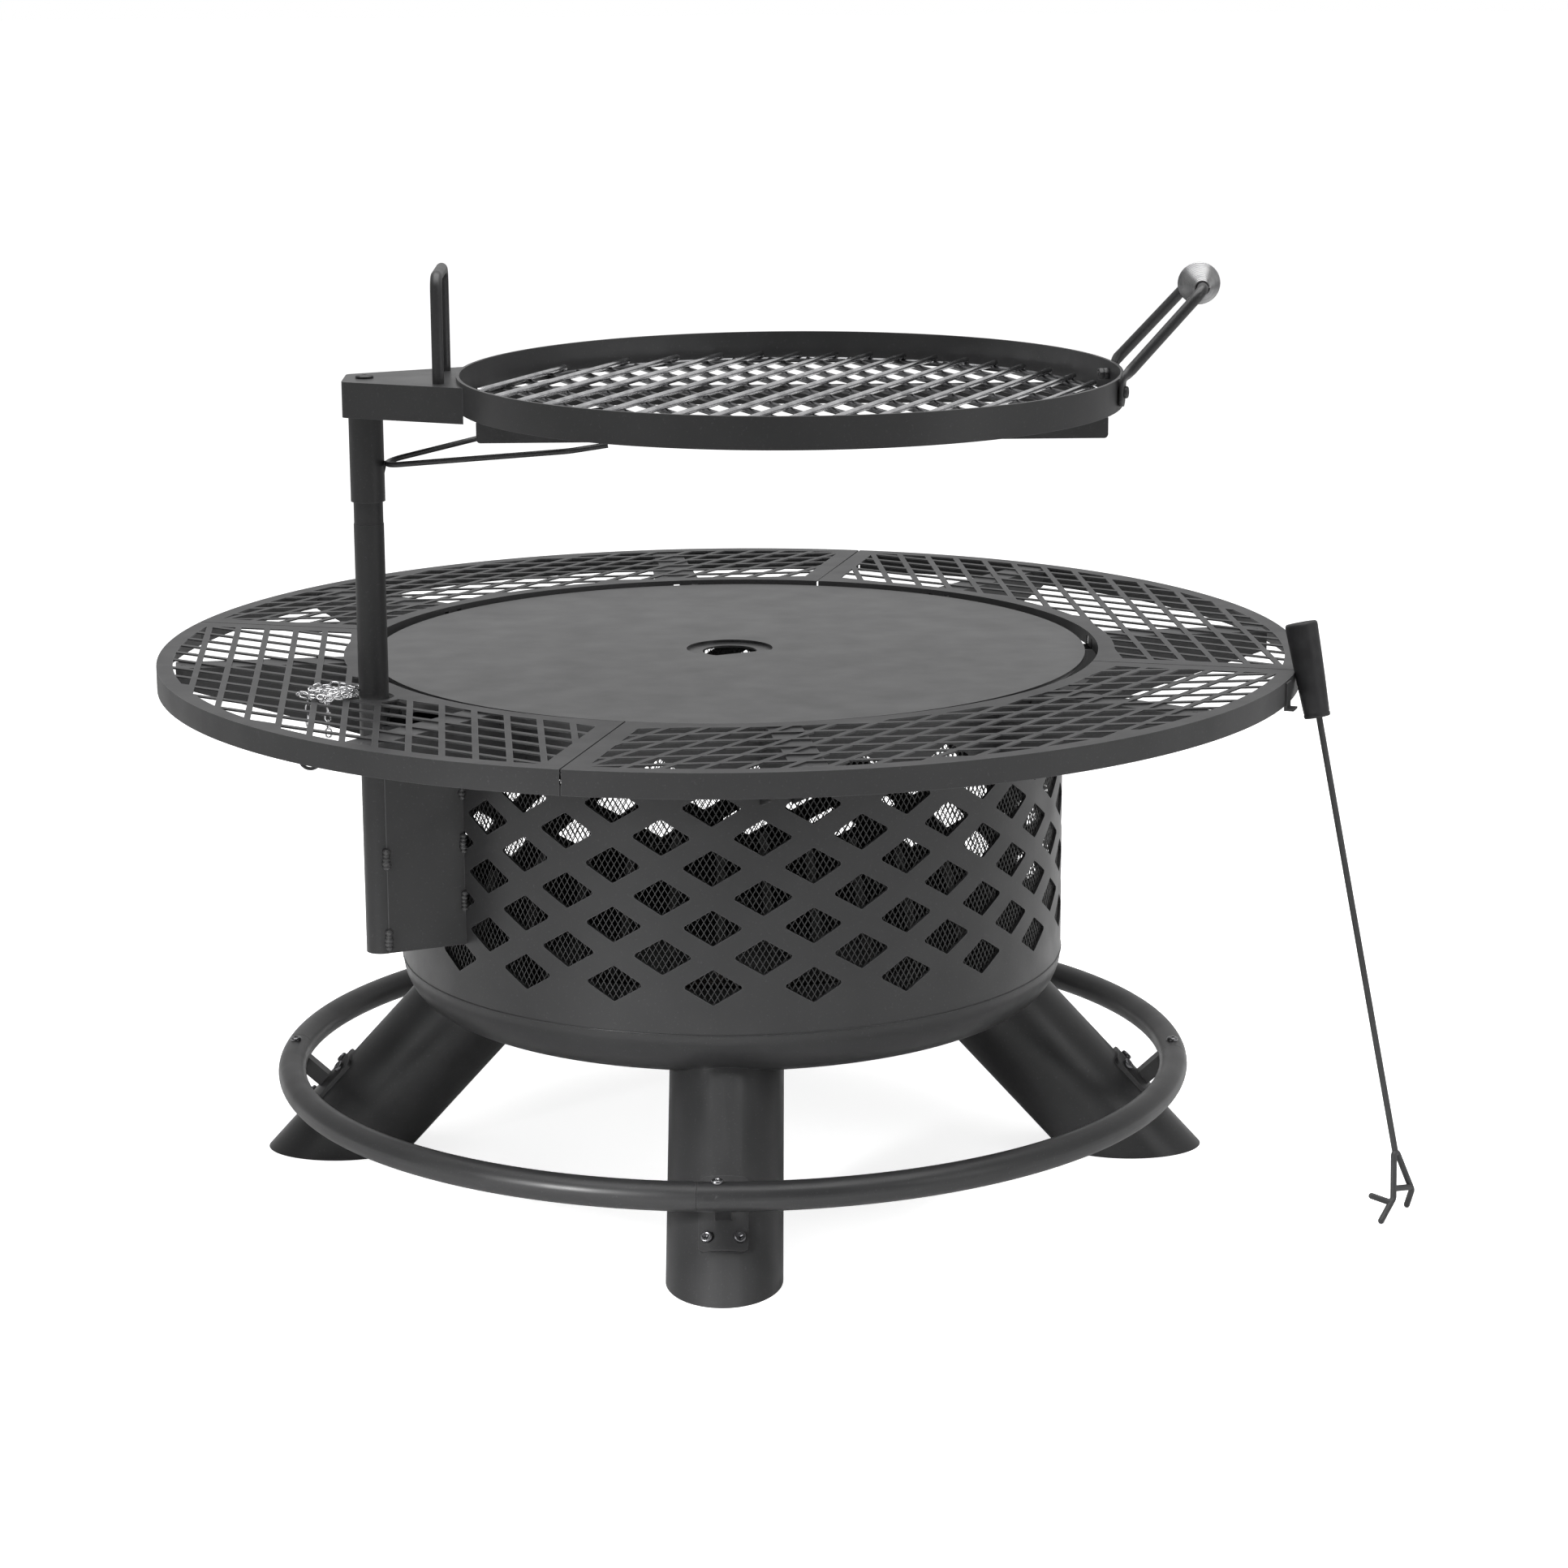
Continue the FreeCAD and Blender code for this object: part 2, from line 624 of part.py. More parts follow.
def weld_beads(sides):
    """Short fillet welds at the bracket's edges, cut to what they join."""
    reach = math.hypot(POST_X, POST_Y)
    az = math.degrees(math.atan2(POST_Y, POST_X))
    joined = sides + bowl_and_post()
    beads = []
    for side in (-1, 1):
        at_post = [(reach, side * (POST_LOW_R + WELD_OUT), z) for z in POST_WELD_Z]
        bowl_x = math.sqrt(BOWL_R**2 - BRACKET_SPREAD**2)
        at_bowl = [(bowl_x, side * BRACKET_SPREAD, z) for z in BOWL_WELD_Z]
        for x, y, z in at_post + at_bowl:
            ends = [Part.makeSphere(WELD_R, V(x, y, z + dz)) for dz in (-WELD_L / 2, WELD_L / 2)]
            bead = fused([disc(WELD_R, z - WELD_L / 2, z + WELD_L / 2, x, y)] + ends)
            pieces = turned(bead, az).cut(joined).Solids
            beads.append(max(pieces, key=lambda s: s.Volume))
    return beads


# Grill


def grill_ring():
    low = GRILL_TOP_Z - GRILL_H
    return tube(GRILL_R, GRILL_R - SHEET, low, GRILL_TOP_Z, GRILL_X, POST_Y)


def grill_space():
    """Everything inside the grill ring's outer surface, at any height."""
    return disc(GRILL_R, SLEEVE_BOTTOM_Z, LIFT_TOP_Z, GRILL_X, POST_Y)


def hub_outline(inset):
    """The hub's plan as (x, y) points, moved in by the inset at its sides and back."""
    front_x = GRILL_X - GRILL_R / 2
    widen = (HUB_FRONT_W - HUB_BACK_W) / (GRILL_X - GRILL_R - HUB_BACK_X) / 2
    back_x = HUB_BACK_X + inset
    back_y = HUB_BACK_W / 2 - inset
    front_y = back_y + widen * (front_x - back_x)
    return [(back_x, -back_y), (front_x, -front_y), (front_x, front_y), (back_x, back_y)]


def hub_box():
    """The tapering box that joins the grill ring to the sleeve, open towards the ring."""
    low, high = HUB_TOP_Z - HUB_H, HUB_TOP_Z
    outer = moved(prism(hub_outline(0), low, high), 0, POST_Y)
    upright = [e for e in outer.Edges if e.BoundBox.ZLength > HUB_H / 2]
    outer = outer.makeFillet(HUB_CORNER_R, [e for e in upright if e.BoundBox.XMax < HUB_BACK_X + 1])
    inner = moved(prism(hub_outline(SHEET), low + SHEET, high - SHEET), 0, POST_Y)
    sleeve_hole = disc(SLEEVE_R, low, low + SHEET, POST_X, POST_Y)
    bolt_hole = disc(CAP_BOLT_R + FIT, high - SHEET, high, POST_X, POST_Y)
    return outer.cut([inner, grill_space(), sleeve_hole, bolt_hole])


def pivot_sleeve():
    return tube(SLEEVE_R, POST_UP_R + FIT, SLEEVE_BOTTOM_Z, HUB_TOP_Z - SHEET, POST_X, POST_Y)


def grill_rail(side):
    """An angle bar along a chord under the ring."""
    high = GRILL_TOP_Z - GRILL_H
    y = POST_Y + side * RAIL_Y
    low, near, far = high - RAIL_H, GRILL_X - RAIL_REACH, GRILL_X + RAIL_REACH
    upright = box(near, far, y - SHEET / 2, y + SHEET / 2, low, high)
    across = [e for e in upright.Edges if e.BoundBox.YLength > 1 and e.BoundBox.ZMax < low + 1]
    upright = upright.makeFillet(RAIL_CORNER_R, across)
    inward = sorted([y, y - side * RAIL_LEG])
    flat = box(near, far, inward[0], inward[1], high - SHEET, high)
    return upright.fuse(flat.common(grill_space())).removeSplitter()


def brace():
    """The V of round rod from the sleeve to the two rails, with its ends along them."""
    end_z = GRILL_TOP_Z - GRILL_H - RAIL_H - BRACE_D / 2
    apex = V(BRACE_APEX_X, POST_Y, BRACE_APEX_Z)
    arms = []
    for side in (-1, 1):
        y = POST_Y + side * RAIL_Y
        arms.append([V(BRACE_END_X, y, end_z), V(BRACE_KNEE_X, y, end_z - BRACE_KNEE_DROP)])
    path = arms[0] + [apex] + arms[1][::-1]
    return bent_rod(path, BRACE_D, BRACE_BEND)


def brace_with_lug():
    """The brace and the small gusset that joins its bend to the sleeve."""
    low, high = LUG_Z
    side = POST_X + SLEEVE_R
    points = [(POST_X, high), (side + LUG_REACH, high), (side, low), (POST_X, low)]
    plate = side_prism(points, POST_Y - SHEET / 2, POST_Y + SHEET / 2)
    return brace().fuse(plate).cut(disc(SLEEVE_R, low, high, POST_X, POST_Y))


def lift_handle():
    y0, y1 = POST_Y - LIFT_Y, POST_Y + LIFT_Y
    top = LIFT_TOP_Z - LIFT_D / 2
    points = [V(LIFT_X, y0, HUB_TOP_Z), V(LIFT_X, y0, top), V(LIFT_X, y1, top), V(LIFT_X, y1, HUB_TOP_Z)]
    return bent_rod(points, LIFT_D, LIFT_BEND)


def round_grill(shape):
    """The swing handle's pieces are built towards +X and turned to their place round the ring."""
    done = shape.copy()
    done.rotate(V(GRILL_X, POST_Y, 0), UP, HANDLE_AZ)
    return done


def at_tab(shape, side):
    """Moves a piece built on the grill's axis towards +X to one of the two tabs."""
    return moved(turned(shape, side * TAB_OFF_AZ), GRILL_X, POST_Y)


def tab_bolt():
    """A bolt out through the ring and an arm's flattened end, as (bolt, nuts, plain shank)."""
    out = V(1, 0, 0)
    inner = V(GRILL_R - SHEET - TAB_SHANK, 0, TAB_BOLT_Z)
    outer = V(GRILL_R + TAB_T, 0, TAB_BOLT_Z)
    shank = Part.makeCylinder(BOLT_R, outer.x - inner.x, inner, out)
    head = Part.makeCylinder(BOLT_HEAD_R, BOLT_HEAD_H, outer, out)
    socket = Part.makeCylinder(SOCKET_R, SOCKET_DEPTH, outer + out * (BOLT_HEAD_H - SOCKET_DEPTH), out)
    corners = [polar(NUT_R, 60 * i + 30) for i in range(6)]
    nut = Part.Face(Part.makePolygon(corners + corners[:1])).extrude(V(0, 0, NUT_T))
    nut.rotate(ORIGIN, V(0, 1, 0), 90)
    nuts = []
    for i in range(NUTS):
        x = GRILL_R - SHEET - (i + 1) * (NUT_T + 2 * FIT) + FIT
        nuts.append(moved(nut, x, 0, TAB_BOLT_Z).cut(shank))
    return shank.fuse(head).cut(socket), nuts, shank


def tab_shanks():
    return [round_grill(at_tab(tab_bolt()[2], side)) for side in (-1, 1)]


def swing_handle_bolts():
    bolt, nuts, shank = tab_bolt()
    return [round_grill(at_tab(piece, side)) for side in (-1, 1) for piece in [bolt] + nuts]


def swing_handle():
    """The bail of round rod with flattened ends against the ring."""
    low, high = TAB_Z
    tab = box(GRILL_R - SHEET, GRILL_R + TAB_T, -TAB_W / 2, TAB_W / 2, low, high)
    tabs = [at_tab(tab.cut(tab_bolt()[2]), side).cut(grill_space()) for side in (-1, 1)]
    foot_r = GRILL_R + ARM_ROD_D / 2 + GAP
    feet = [V(GRILL_X, POST_Y, ARM_FOOT_Z) + polar(foot_r, side * TAB_OFF_AZ) for side in (-1, 1)]
    top = [V(ARM_ROD_TOP_X, POST_Y + side * ARM_ROD_Y, ARM_ROD_TOP_Z) for side in (-1, 1)]
    bail = bent_rod([feet[0], top[0], top[1], feet[1]], ARM_ROD_D, ARM_ROD_BEND)
    return round_grill(fused([bail.cut(grill_space())] + tabs))


def coil_grip():
    """The double-cone coil on the bail: touching turns, widest in the middle, and hollow there."""
    half = ARM_ROD_Y - ARM_ROD_BEND - 1.0
    bore = ARM_ROD_D / 2 + GAP
    pitch = 2 * half / COIL_TURNS
    outline = [V(bore, 0, -half)]
    for i in range(COIL_TURNS):
        z = (i + 0.5) * pitch - half
        r = COIL_END_R + (COIL_MID_R - COIL_END_R) * (1 - abs(z) / half)
        outline.append(V(r - COIL_WIRE_D / 2, 0, z - pitch / 2))
        outline.append(V(r, 0, z - pitch / 4))
        outline.append(V(r, 0, z + pitch / 4))
    outline.append(V(COIL_END_R - COIL_WIRE_D / 2, 0, half))
    outline.append(V(bore, 0, half))
    outline.append(V(COIL_MID_R - 2 * COIL_WIRE_D, 0, 0))
    coil = Part.Face(Part.makePolygon(outline + outline[:1])).revolve(ORIGIN, UP, 360)
    coil.rotate(ORIGIN, V(1, 0, 0), -90)
    return round_grill(moved(coil, ARM_ROD_TOP_X, POST_Y, ARM_ROD_TOP_Z))


# Wire grate


def grate_wires(angle, z, reach_r):
    wires = []
    along = polar(1, angle)
    across = polar(1, angle + 90)
    centre = V(GRILL_X, POST_Y, z)
    for i in range(-WIRE_COUNT, WIRE_COUNT + 1):
        off = i * WIRE_PITCH
        reach = math.sqrt(reach_r**2 - off**2)
        middle = centre + across * off
        wires.append(rod(middle - along * reach, middle + along * reach, WIRE_D))
    return wires


def grate_levels():
    low = GRILL_TOP_Z - GRILL_H + GAP + WIRE_D / 2
    return low, low + WIRE_D


def grate_hoop():
    return hoop(HOOP_R, WIRE_D, grate_levels()[0], GRILL_X, POST_Y)


def low_wires():
    """The lower layer, welded end on to the inside of the hoop."""
    ring = grate_hoop()
    wires = grate_wires(180 - WIRE_ANGLE, grate_levels()[0], HOOP_R - 1)
    return [max(wire.cut(ring).Solids, key=lambda solid: solid.Volume) for wire in wires]


def high_wires():
    """The upper layer, which lies on the lower one and on the hoop."""
    return grate_wires(WIRE_ANGLE, grate_levels()[1], WIRE_REACH)


# Poker


def poker_point(s, side=0.0):
    """A point s along the poker from the floor, off to one side of it."""
    along = (POKER_RIM - POKER_FOOT).normalize()
    return POKER_FOOT + along * s + POKER_ACROSS * side


def poker_rod():
    return rod(poker_point(POKER_FORK_S + 1), poker_point(POKER_GRIP_S[1] - 6), POKER_ROD_D)


def poker_fork():
    """The A-shaped end: one rod bent over at the top and at its knees, a cross bar and a side prong."""
    half = POKER_ROD_D / 2
    corner = poker_point(POKER_CORNER_S)
    knees = [poker_point(POKER_KNEE_S, side * POKER_KNEE_OUT) for side in (-1, 1)]
    tips = [V(x, y, half + GAP) for x, y in POKER_TIPS]
    path = [tips[0], knees[0], corner, knees[1], tips[1]]
    legs = bent_rod(path, POKER_ROD_D, POKER_KNEE_BEND, POKER_TOP_BEND, POKER_KNEE_BEND)
    bar_ends = [knee + (corner - knee) * at for knee, at in zip(knees, POKER_BAR_AT)]
    root = knees[0] + (tips[0] - knees[0]) * POKER_PRONG_AT
    pieces = [legs, rod(*bar_ends, POKER_ROD_D), rod(root, root + POKER_PRONG, POKER_ROD_D)]
    pieces += [Part.makeSphere(half, point) for point in tips + [root + POKER_PRONG]]
    return fused(pieces).cut(poker_rod())


def poker_grip():
    low, high = POKER_GRIP_S
    start = poker_point(low)
    along = poker_point(high) - start
    grip = Part.makeCone(POKER_GRIP_R[0], POKER_GRIP_R[1], high - low, start, along)
    rims = [e for e in grip.Edges if e.Curve.TypeId == "Part::GeomCircle"]
    grip = grip.makeFillet(POKER_GRIP_EDGE, rims)
    return grip.cut(poker_rod())


def poker_hook():
    """The small bent tab on the rim that keeps the poker from sliding along it."""
    half = HOOK_W / 2
    low, high = TABLE_TOP_Z - RIM_H - HOOK_DROP, TABLE_TOP_Z - TABLE_T
    plate = box(TABLE_R - SHEET, TABLE_R + HOOK_T, -half, half, low, high)
    lip = box(TABLE_R - SHEET, TABLE_R + HOOK_REACH, -half, half, low, low + HOOK_T)
    rim = disc(TABLE_R, TABLE_TOP_Z - RIM_H, TABLE_TOP_Z)
    inside = disc(TABLE_R - 1, 0, TABLE_TOP_Z)
    return turned(plate.fuse(lip).cut([rim, inside]).removeSplitter(), HOOK_AZ)


# Chain


def link(centre, along, spin, wire=LINK_WIRE, length=LINK_L, width=LINK_W):
    """One welded link. Its length lies along one direction, and spin turns its plane about that."""
    half = (width - wire) / 2
    straight = (length - width) / 2
    ends = [V(0, half, -straight), V(0, half, straight), V(0, -half, straight), V(0, -half, -straight)]
    path = Part.Wire(
        [
            Part.makeLine(ends[0], ends[1]),
            Part.Arc(ends[1], V(0, 0, straight + half), ends[2]).toShape(),
            Part.makeLine(ends[2], ends[3]),
            Part.Arc(ends[3], V(0, 0, -straight - half), ends[0]).toShape(),
        ]
    )
    section = Part.Wire(Part.makeCircle(wire / 2, ends[0], UP))
    done = path.makePipeShell([section], True, True)
    done.rotate(ORIGIN, UP, spin)
    done.Placement = FreeCAD.Placement(centre, FreeCAD.Rotation(UP, along)).multiply(done.Placement)
    return done


def chain_drop():
    """The links that hang through the table."""
    top = V(CHAIN_X, CHAIN_Y, CHAIN_TOP_Z)
    return [link(top - UP * (i * LINK_PITCH), UP, 90 * (i % 2)) for i in range(CHAIN_LINKS)]


def chain_pile():
    """Short runs of links lying on the table beside the post."""
    first = V(CHAIN_X, CHAIN_Y, TABLE_TOP_Z + LINK_W / 2) + PILE_START
    runs = []
    for loop in range(PILE_LOOPS):
        along = polar(1, PILE_HEADING + loop * PILE_TURN)
        start = first + PILE_STEP * loop
        for i in range(PILE_LINKS):
            runs.append(link(start + along * (i * LINK_PITCH), along, 45 + 90 * (i % 2)))
    return runs


def clip_middle_z():
    last = CHAIN_TOP_Z - (CHAIN_LINKS - 1) * LINK_PITCH
    return last - LINK_L / 2 + LINK_WIRE + LINK_SLACK + CLIP_WIRE - CLIP_L / 2


def chain_clip():
    """The clip that joins the last link to the key ring."""
    centre = V(CHAIN_X, CHAIN_Y, clip_middle_z())
    return link(centre, UP, 90 * (CHAIN_LINKS % 2), CLIP_WIRE, CLIP_L, CLIP_W)


def key_ring():
    middle_r = KEY_RING_R - KEY_RING_WIRE / 2
    hang_z = clip_middle_z() - CLIP_L / 2 + CLIP_WIRE + GAP + KEY_RING_WIRE / 2
    centre = V(CHAIN_X, CHAIN_Y, hang_z - middle_r)
    return Part.makeTorus(middle_r, KEY_RING_WIRE / 2, centre, V(0, 1, 0))


def main():
    os.makedirs("parts", exist_ok=True)
    save("bowl_wall", bowl_wall())
    save("bowl_bottom", bowl_bottom())
    save("bowl_flange", bowl_flange())
    save("spark_mesh", spark_mesh())
    space = bowl_space()
    bolts = []
    screws = []
    for side, az in LEG_AZ.items():
        save("leg_" + side, leg(space, az))
        save("saddle_" + side, saddle(az))
        save("foot_ring_" + side, ring_segment(az))
        bolts += [leaned(bolt, az) for bolt, shank in saddle_bolts()]
        screws.append(ring_screw(az + RING_JOINT_AZ)[0])
    save("saddle_bolts", *bolts)
    save("foot_ring_screws", *screws)
    table_bolts = []
    for i in range(4):
        middle = FIRST_SEAM_AZ + 45 + 90 * i
        save("table_panel_%d" % (i + 1), table_panel(middle))
        for j, side in enumerate((-1, 1)):
            az = middle + side * ARM_OFF_AZ
            save("table_arm_%d" % (2 * i + j + 1), table_arm(az))
            table_bolts += [turned(arm_bolt(r)[0], az) for r in ARM_BOLT_R]
    save("table_bolts", *table_bolts)
    save("poker_hook", poker_hook())
    save("post_lower", post_lower())
    sides = post_bracket_sides()
    save("post_bracket", *sides)
    save("post_welds", *weld_beads(sides))
    save("chain", *(chain_drop() + chain_pile()))
    save("chain_clip", chain_clip())
    save("key_ring", key_ring())
    save("lid_plate", lid_plate())
    save("lid_pull_ring", lid_pull_ring())
    save("log_grate_frame", *log_grate_frame())
    save("log_grate_bars", *log_grate_bars())
    save("post_upper", post_upper())
    save("cap_bolt", cap_bolt())
    save("grill_ring", grill_ring().cut(tab_shanks()))
    save("hub_box", hub_box())
    save("pivot_sleeve", pivot_sleeve())
    save("grill_rail_front", grill_rail(-1))
    save("grill_rail_back", grill_rail(1))
    save("brace", brace_with_lug())
    save("lift_handle", lift_handle())
    save("swing_handle", swing_handle())
    save("swing_handle_bolts", *swing_handle_bolts())
    save("coil_grip", coil_grip())
    save("grate_hoop", grate_hoop())
    save("grate_wires_low", *low_wires())
    save("grate_wires_high", *high_wires())
    save("poker_rod", poker_rod())
    save("poker_fork", poker_fork())
    save("poker_grip", poker_grip())


main()
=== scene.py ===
import json
import math
import random

import bmesh
import bpy
import numpy as np
from mathutils import Matrix, Vector


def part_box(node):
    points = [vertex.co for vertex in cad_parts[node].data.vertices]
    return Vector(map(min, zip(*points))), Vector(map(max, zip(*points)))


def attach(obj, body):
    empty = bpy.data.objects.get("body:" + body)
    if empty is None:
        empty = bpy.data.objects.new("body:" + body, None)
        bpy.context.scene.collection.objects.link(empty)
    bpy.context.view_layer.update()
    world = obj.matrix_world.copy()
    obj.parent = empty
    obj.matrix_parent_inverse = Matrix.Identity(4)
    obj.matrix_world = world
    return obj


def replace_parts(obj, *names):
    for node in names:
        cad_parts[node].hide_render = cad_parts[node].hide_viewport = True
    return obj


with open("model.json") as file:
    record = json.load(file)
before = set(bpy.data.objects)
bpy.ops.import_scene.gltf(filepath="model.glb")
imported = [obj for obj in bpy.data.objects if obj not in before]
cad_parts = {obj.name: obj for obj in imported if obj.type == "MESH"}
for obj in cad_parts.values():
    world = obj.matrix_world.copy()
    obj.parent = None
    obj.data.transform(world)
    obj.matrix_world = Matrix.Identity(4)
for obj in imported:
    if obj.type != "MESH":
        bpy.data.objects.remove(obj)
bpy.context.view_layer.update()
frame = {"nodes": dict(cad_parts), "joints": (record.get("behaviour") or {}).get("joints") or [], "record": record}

UP = Vector((0, 0, 1))
MM = 0.001

# Camera, at the photograph's place: metres and radians
CAMERA_AT = Vector((-0.01167, -4.14279, 1.37287))
CAMERA_LENS = 91.57
CAMERA_YAW = 0.0165
CAMERA_PITCH = 0.2304
CAMERA_ROLL = -0.0062

# Expanded mesh behind the cut-outs
CELL_W = 6.4 * MM
CELL_H = 11.0 * MM
STRAND_W = 0.75 * MM
STRAND_T = 0.8 * MM
MESH_Z = (250.0 * MM, 530.0 * MM)  # the reach of the cut-outs, and a little more
MESH_PIECES = 4

# Fasteners
SOCKET_R = 2.6 * MM
SOCKET_DEPTH = 2.2 * MM
SOCKET_BREAK = 0.3 * MM  # the chamfer round the socket's mouth
SHANK_R = 2.9 * MM
SHANK_MIN = 1.0 * MM  # a solid with less than this below its head is a nut
NUT_FACE = 0.86  # a nut's round face, as a share of its radius to the corners

# Welds and seams
WELD_COINS = 5
WELD_STANDS_OUT = 1.4 * MM  # past half the plain bead's width
WELD_END = 2.0 * MM
WELD_WANDER = 0.6 * MM
SEAM_BEAD_R = 1.1 * MM
SEAM_BEAD_SINK = 0.3 * MM
SEAM_RIPPLE = 0.12 * MM
SEAM_RIPPLES = 190

# Swing handle and its grip
ROD_R = 5.5 * MM
BAR_HALF = 59.0 * MM
TAB_W = 19.0 * MM
TAB_T = 5.0 * MM
TAB_DROP = 13.5 * MM  # from a tab's bolt to the tab's lower end
TAB_RISE = 12.5 * MM
KNEE_OUT = 1.0 * MM
FLAT_END = TAB_DROP + TAB_RISE
FLAT_BLEND = 16.0 * MM  # from a flat tab to the round rod
NOSE_L = 6.0 * MM
BAIL_BENDS = (0.012, 0.013, 0.013, 0.012)
BAIL_STEP = 2.5 * MM
COIL_WIRE_R = 1.6 * MM
COIL_END_R = 8.0 * MM
COIL_HALF = 45.0 * MM

# Chain
LINK_L = 11.0 * MM
LINK_W = 7.4 * MM
LINK_WIRE_R = 0.95 * MM
LINK_SLACK = 0.4 * MM
LINK_ROLL = 0.5  # radians
LINK_WOBBLE = 0.35
PILE_LINKS = 64
PILE_TURNS = 5.5
PILE_STEPS = 900
PILE_REACH = (21.0 * MM, 13.0 * MM)
PILE_H = 10.5 * MM
STRAND_RISE = 4.0 * MM  # how far the two hanging strands start above the table
LOOSE_STRAND_X = 19.0 * MM
LOOSE_STRAND_L = 42.0 * MM
PILE_OFFSET = Vector((0.021, 0.009, 0))  # the pile's middle, from the strand that carries the clip


# Studio, in metres
FLOOR_HALF = 30.0
FLOOR_GLOW = 0.8
WORLD_FRONT = 0.06
WORLD_BACK = 0.60
WORLD_BRIGHT_WAY = (0.30, 0.95, 0.0)  # behind, and a little to the right


# Meshes


def add_piece(name, mesh, body, material):
    piece = bpy.data.objects.new(name, mesh)
    bpy.context.scene.collection.objects.link(piece)
    mesh.materials.append(material)
    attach(piece, body)
    return piece


def new_mesh(name, points, faces, smooth=True):
    mesh = bpy.data.meshes.new(name)
    mesh.from_pydata([tuple(p) for p in points], [], faces)
    mesh.polygons.foreach_set("use_smooth", [smooth] * len(faces))
    mesh.update()
    return mesh


class Builder:
    """Collects lofted bodies into one list of points and faces."""

    def __init__(self):
        self.points = []
        self.faces = []

    def loft(self, rings, cap=True, closed=False):
        """A skin through rings of equal count, closed at its ends or round into a loop."""
        first = len(self.points)
        count = len(rings[0])
        for ring in rings:
            self.points.extend(ring)
        spans = len(rings) if closed else len(rings) - 1
        for i in range(spans):
            a = first + i * count
            b = first + (i + 1) % len(rings) * count
            for k in range(count):
                n = (k + 1) % count
                self.faces.append((a + k, a + n, b + n, b + k))
        if cap and not closed:
            self.faces.append(tuple(first + k for k in reversed(range(count))))
            last = first + (len(rings) - 1) * count
            self.faces.append(tuple(last + k for k in range(count)))

    def mesh(self, name, smooth=True):
        return new_mesh(name, self.points, self.faces, smooth)


def frames_along(path, closed=False):
    """(point, direction, side, other side) at each point, with as little twist as the path allows."""
    count = len(path)
    result = []
    side = None
    for i, point in enumerate(path):
        before = path[i - 1] if closed or i else point
        after = path[(i + 1) % count] if closed or i < count - 1 else point
        along = (after - before).normalized()
        if side is None:
            side = along.cross(UP)
            side = along.cross(Vector((1, 0, 0))) if side.length < 0.1 else side
        side = (side - along * side.dot(along)).normalized()
        result.append((point, along, side, along.cross(side)))
    return result


def circle(centre, side, other, radius, count):
    turn = 2 * math.pi / count
    return [centre + (side * math.cos(k * turn) + other * math.sin(k * turn)) * radius for k in range(count)]


def end_rings(place, radius, count, way):
    """Rings that round a rod's end over, from its side to its tip."""
    point, along, side, other = place
    depth = radius * 0.5
    rings = []
    for degrees in (0, 30, 60, 84):
        angle = math.radians(degrees)
        centre = point + along * (way * depth * (math.sin(angle) - 1))
        rings.append(circle(centre, side, other, radius * math.cos(angle), count))
    return rings


def tube_rings(path, radius, count=12, closed=False):
    """Rings of a round rod along a path. Open ends are rounded over."""
    places = frames_along(path, closed)
    rings = [circle(p, side, other, radius, count) for p, along, side, other in places]
    if closed:
        return rings
    start = end_rings(places[0], radius, count, -1)[::-1]
    return start + rings[1:-1] + end_rings(places[-1], radius, count, 1)


def rounded_path(points, bends, steps=8):
    """The points' polyline with each inner corner turned to an arc of its own radius."""
    path = [points[0]]
    for before, corner, after, bend in zip(points, points[1:], points[2:], bends):
        back = (before - corner).normalized()
        ahead = (after - corner).normalized()
        half = back.angle(ahead) / 2
        reach = bend / math.tan(half)
        middle = corner + (back + ahead).normalized() * (bend / math.sin(half))
        a = corner + back * reach - middle
        b = corner + ahead * reach - middle
        total = a.angle(b)
        for i in range(steps + 1):
            t = i / steps
            arm = a * math.sin((1 - t) * total) + b * math.sin(t * total)
            path.append(middle + arm / math.sin(total))
    path.append(points[-1])
    return path


def evenly(path, step):
    """The same path with points no further apart than the step."""
    fine = []
    for a, b in zip(path, path[1:]):
        pieces = max(1, round((b - a).length / step))
        fine += [a.lerp(b, k / pieces) for k in range(pieces)]
    return fine + [path[-1]]


def islands(node):
    """The separate solids of a CAD node, each as (points, triangles' normals times area)."""
    bm = bmesh.new()
    bm.from_mesh(frame["nodes"][node].data)
    bmesh.ops.remove_doubles(bm, verts=bm.verts, dist=1e-6)
    bm.faces.ensure_lookup_table()
    seen = set()
    found = []
    for start in bm.faces:
        if start.index in seen:
            continue
        seen.add(start.index)
        stack = [start]
        group = []
        while stack:
            face = stack.pop()
            group.append(face)
            for edge in face.edges:
                for other in edge.link_faces:
                    if other.index not in seen:
                        seen.add(other.index)
                        stack.append(other)
        points = np.array([v.co for v in {v for f in group for v in f.verts}])
        normals = np.array([f.normal * f.calc_area() for f in group])
        found.append((points, normals))
    bm.free()
    return sorted(found, key=lambda item: tuple(np.round(item[0].mean(0), 4)))


def rod_ends(points):
    """The two ends of a straight rod's axis."""
    centre = (points.min(0) + points.max(0)) / 2
    values, vectors = np.linalg.eigh(np.cov((points - centre).T))
    axis = vectors[:, 2]
    reach = (points - centre) @ axis
    return Vector(centre + axis * reach.min()), Vector(centre + axis * reach.max())


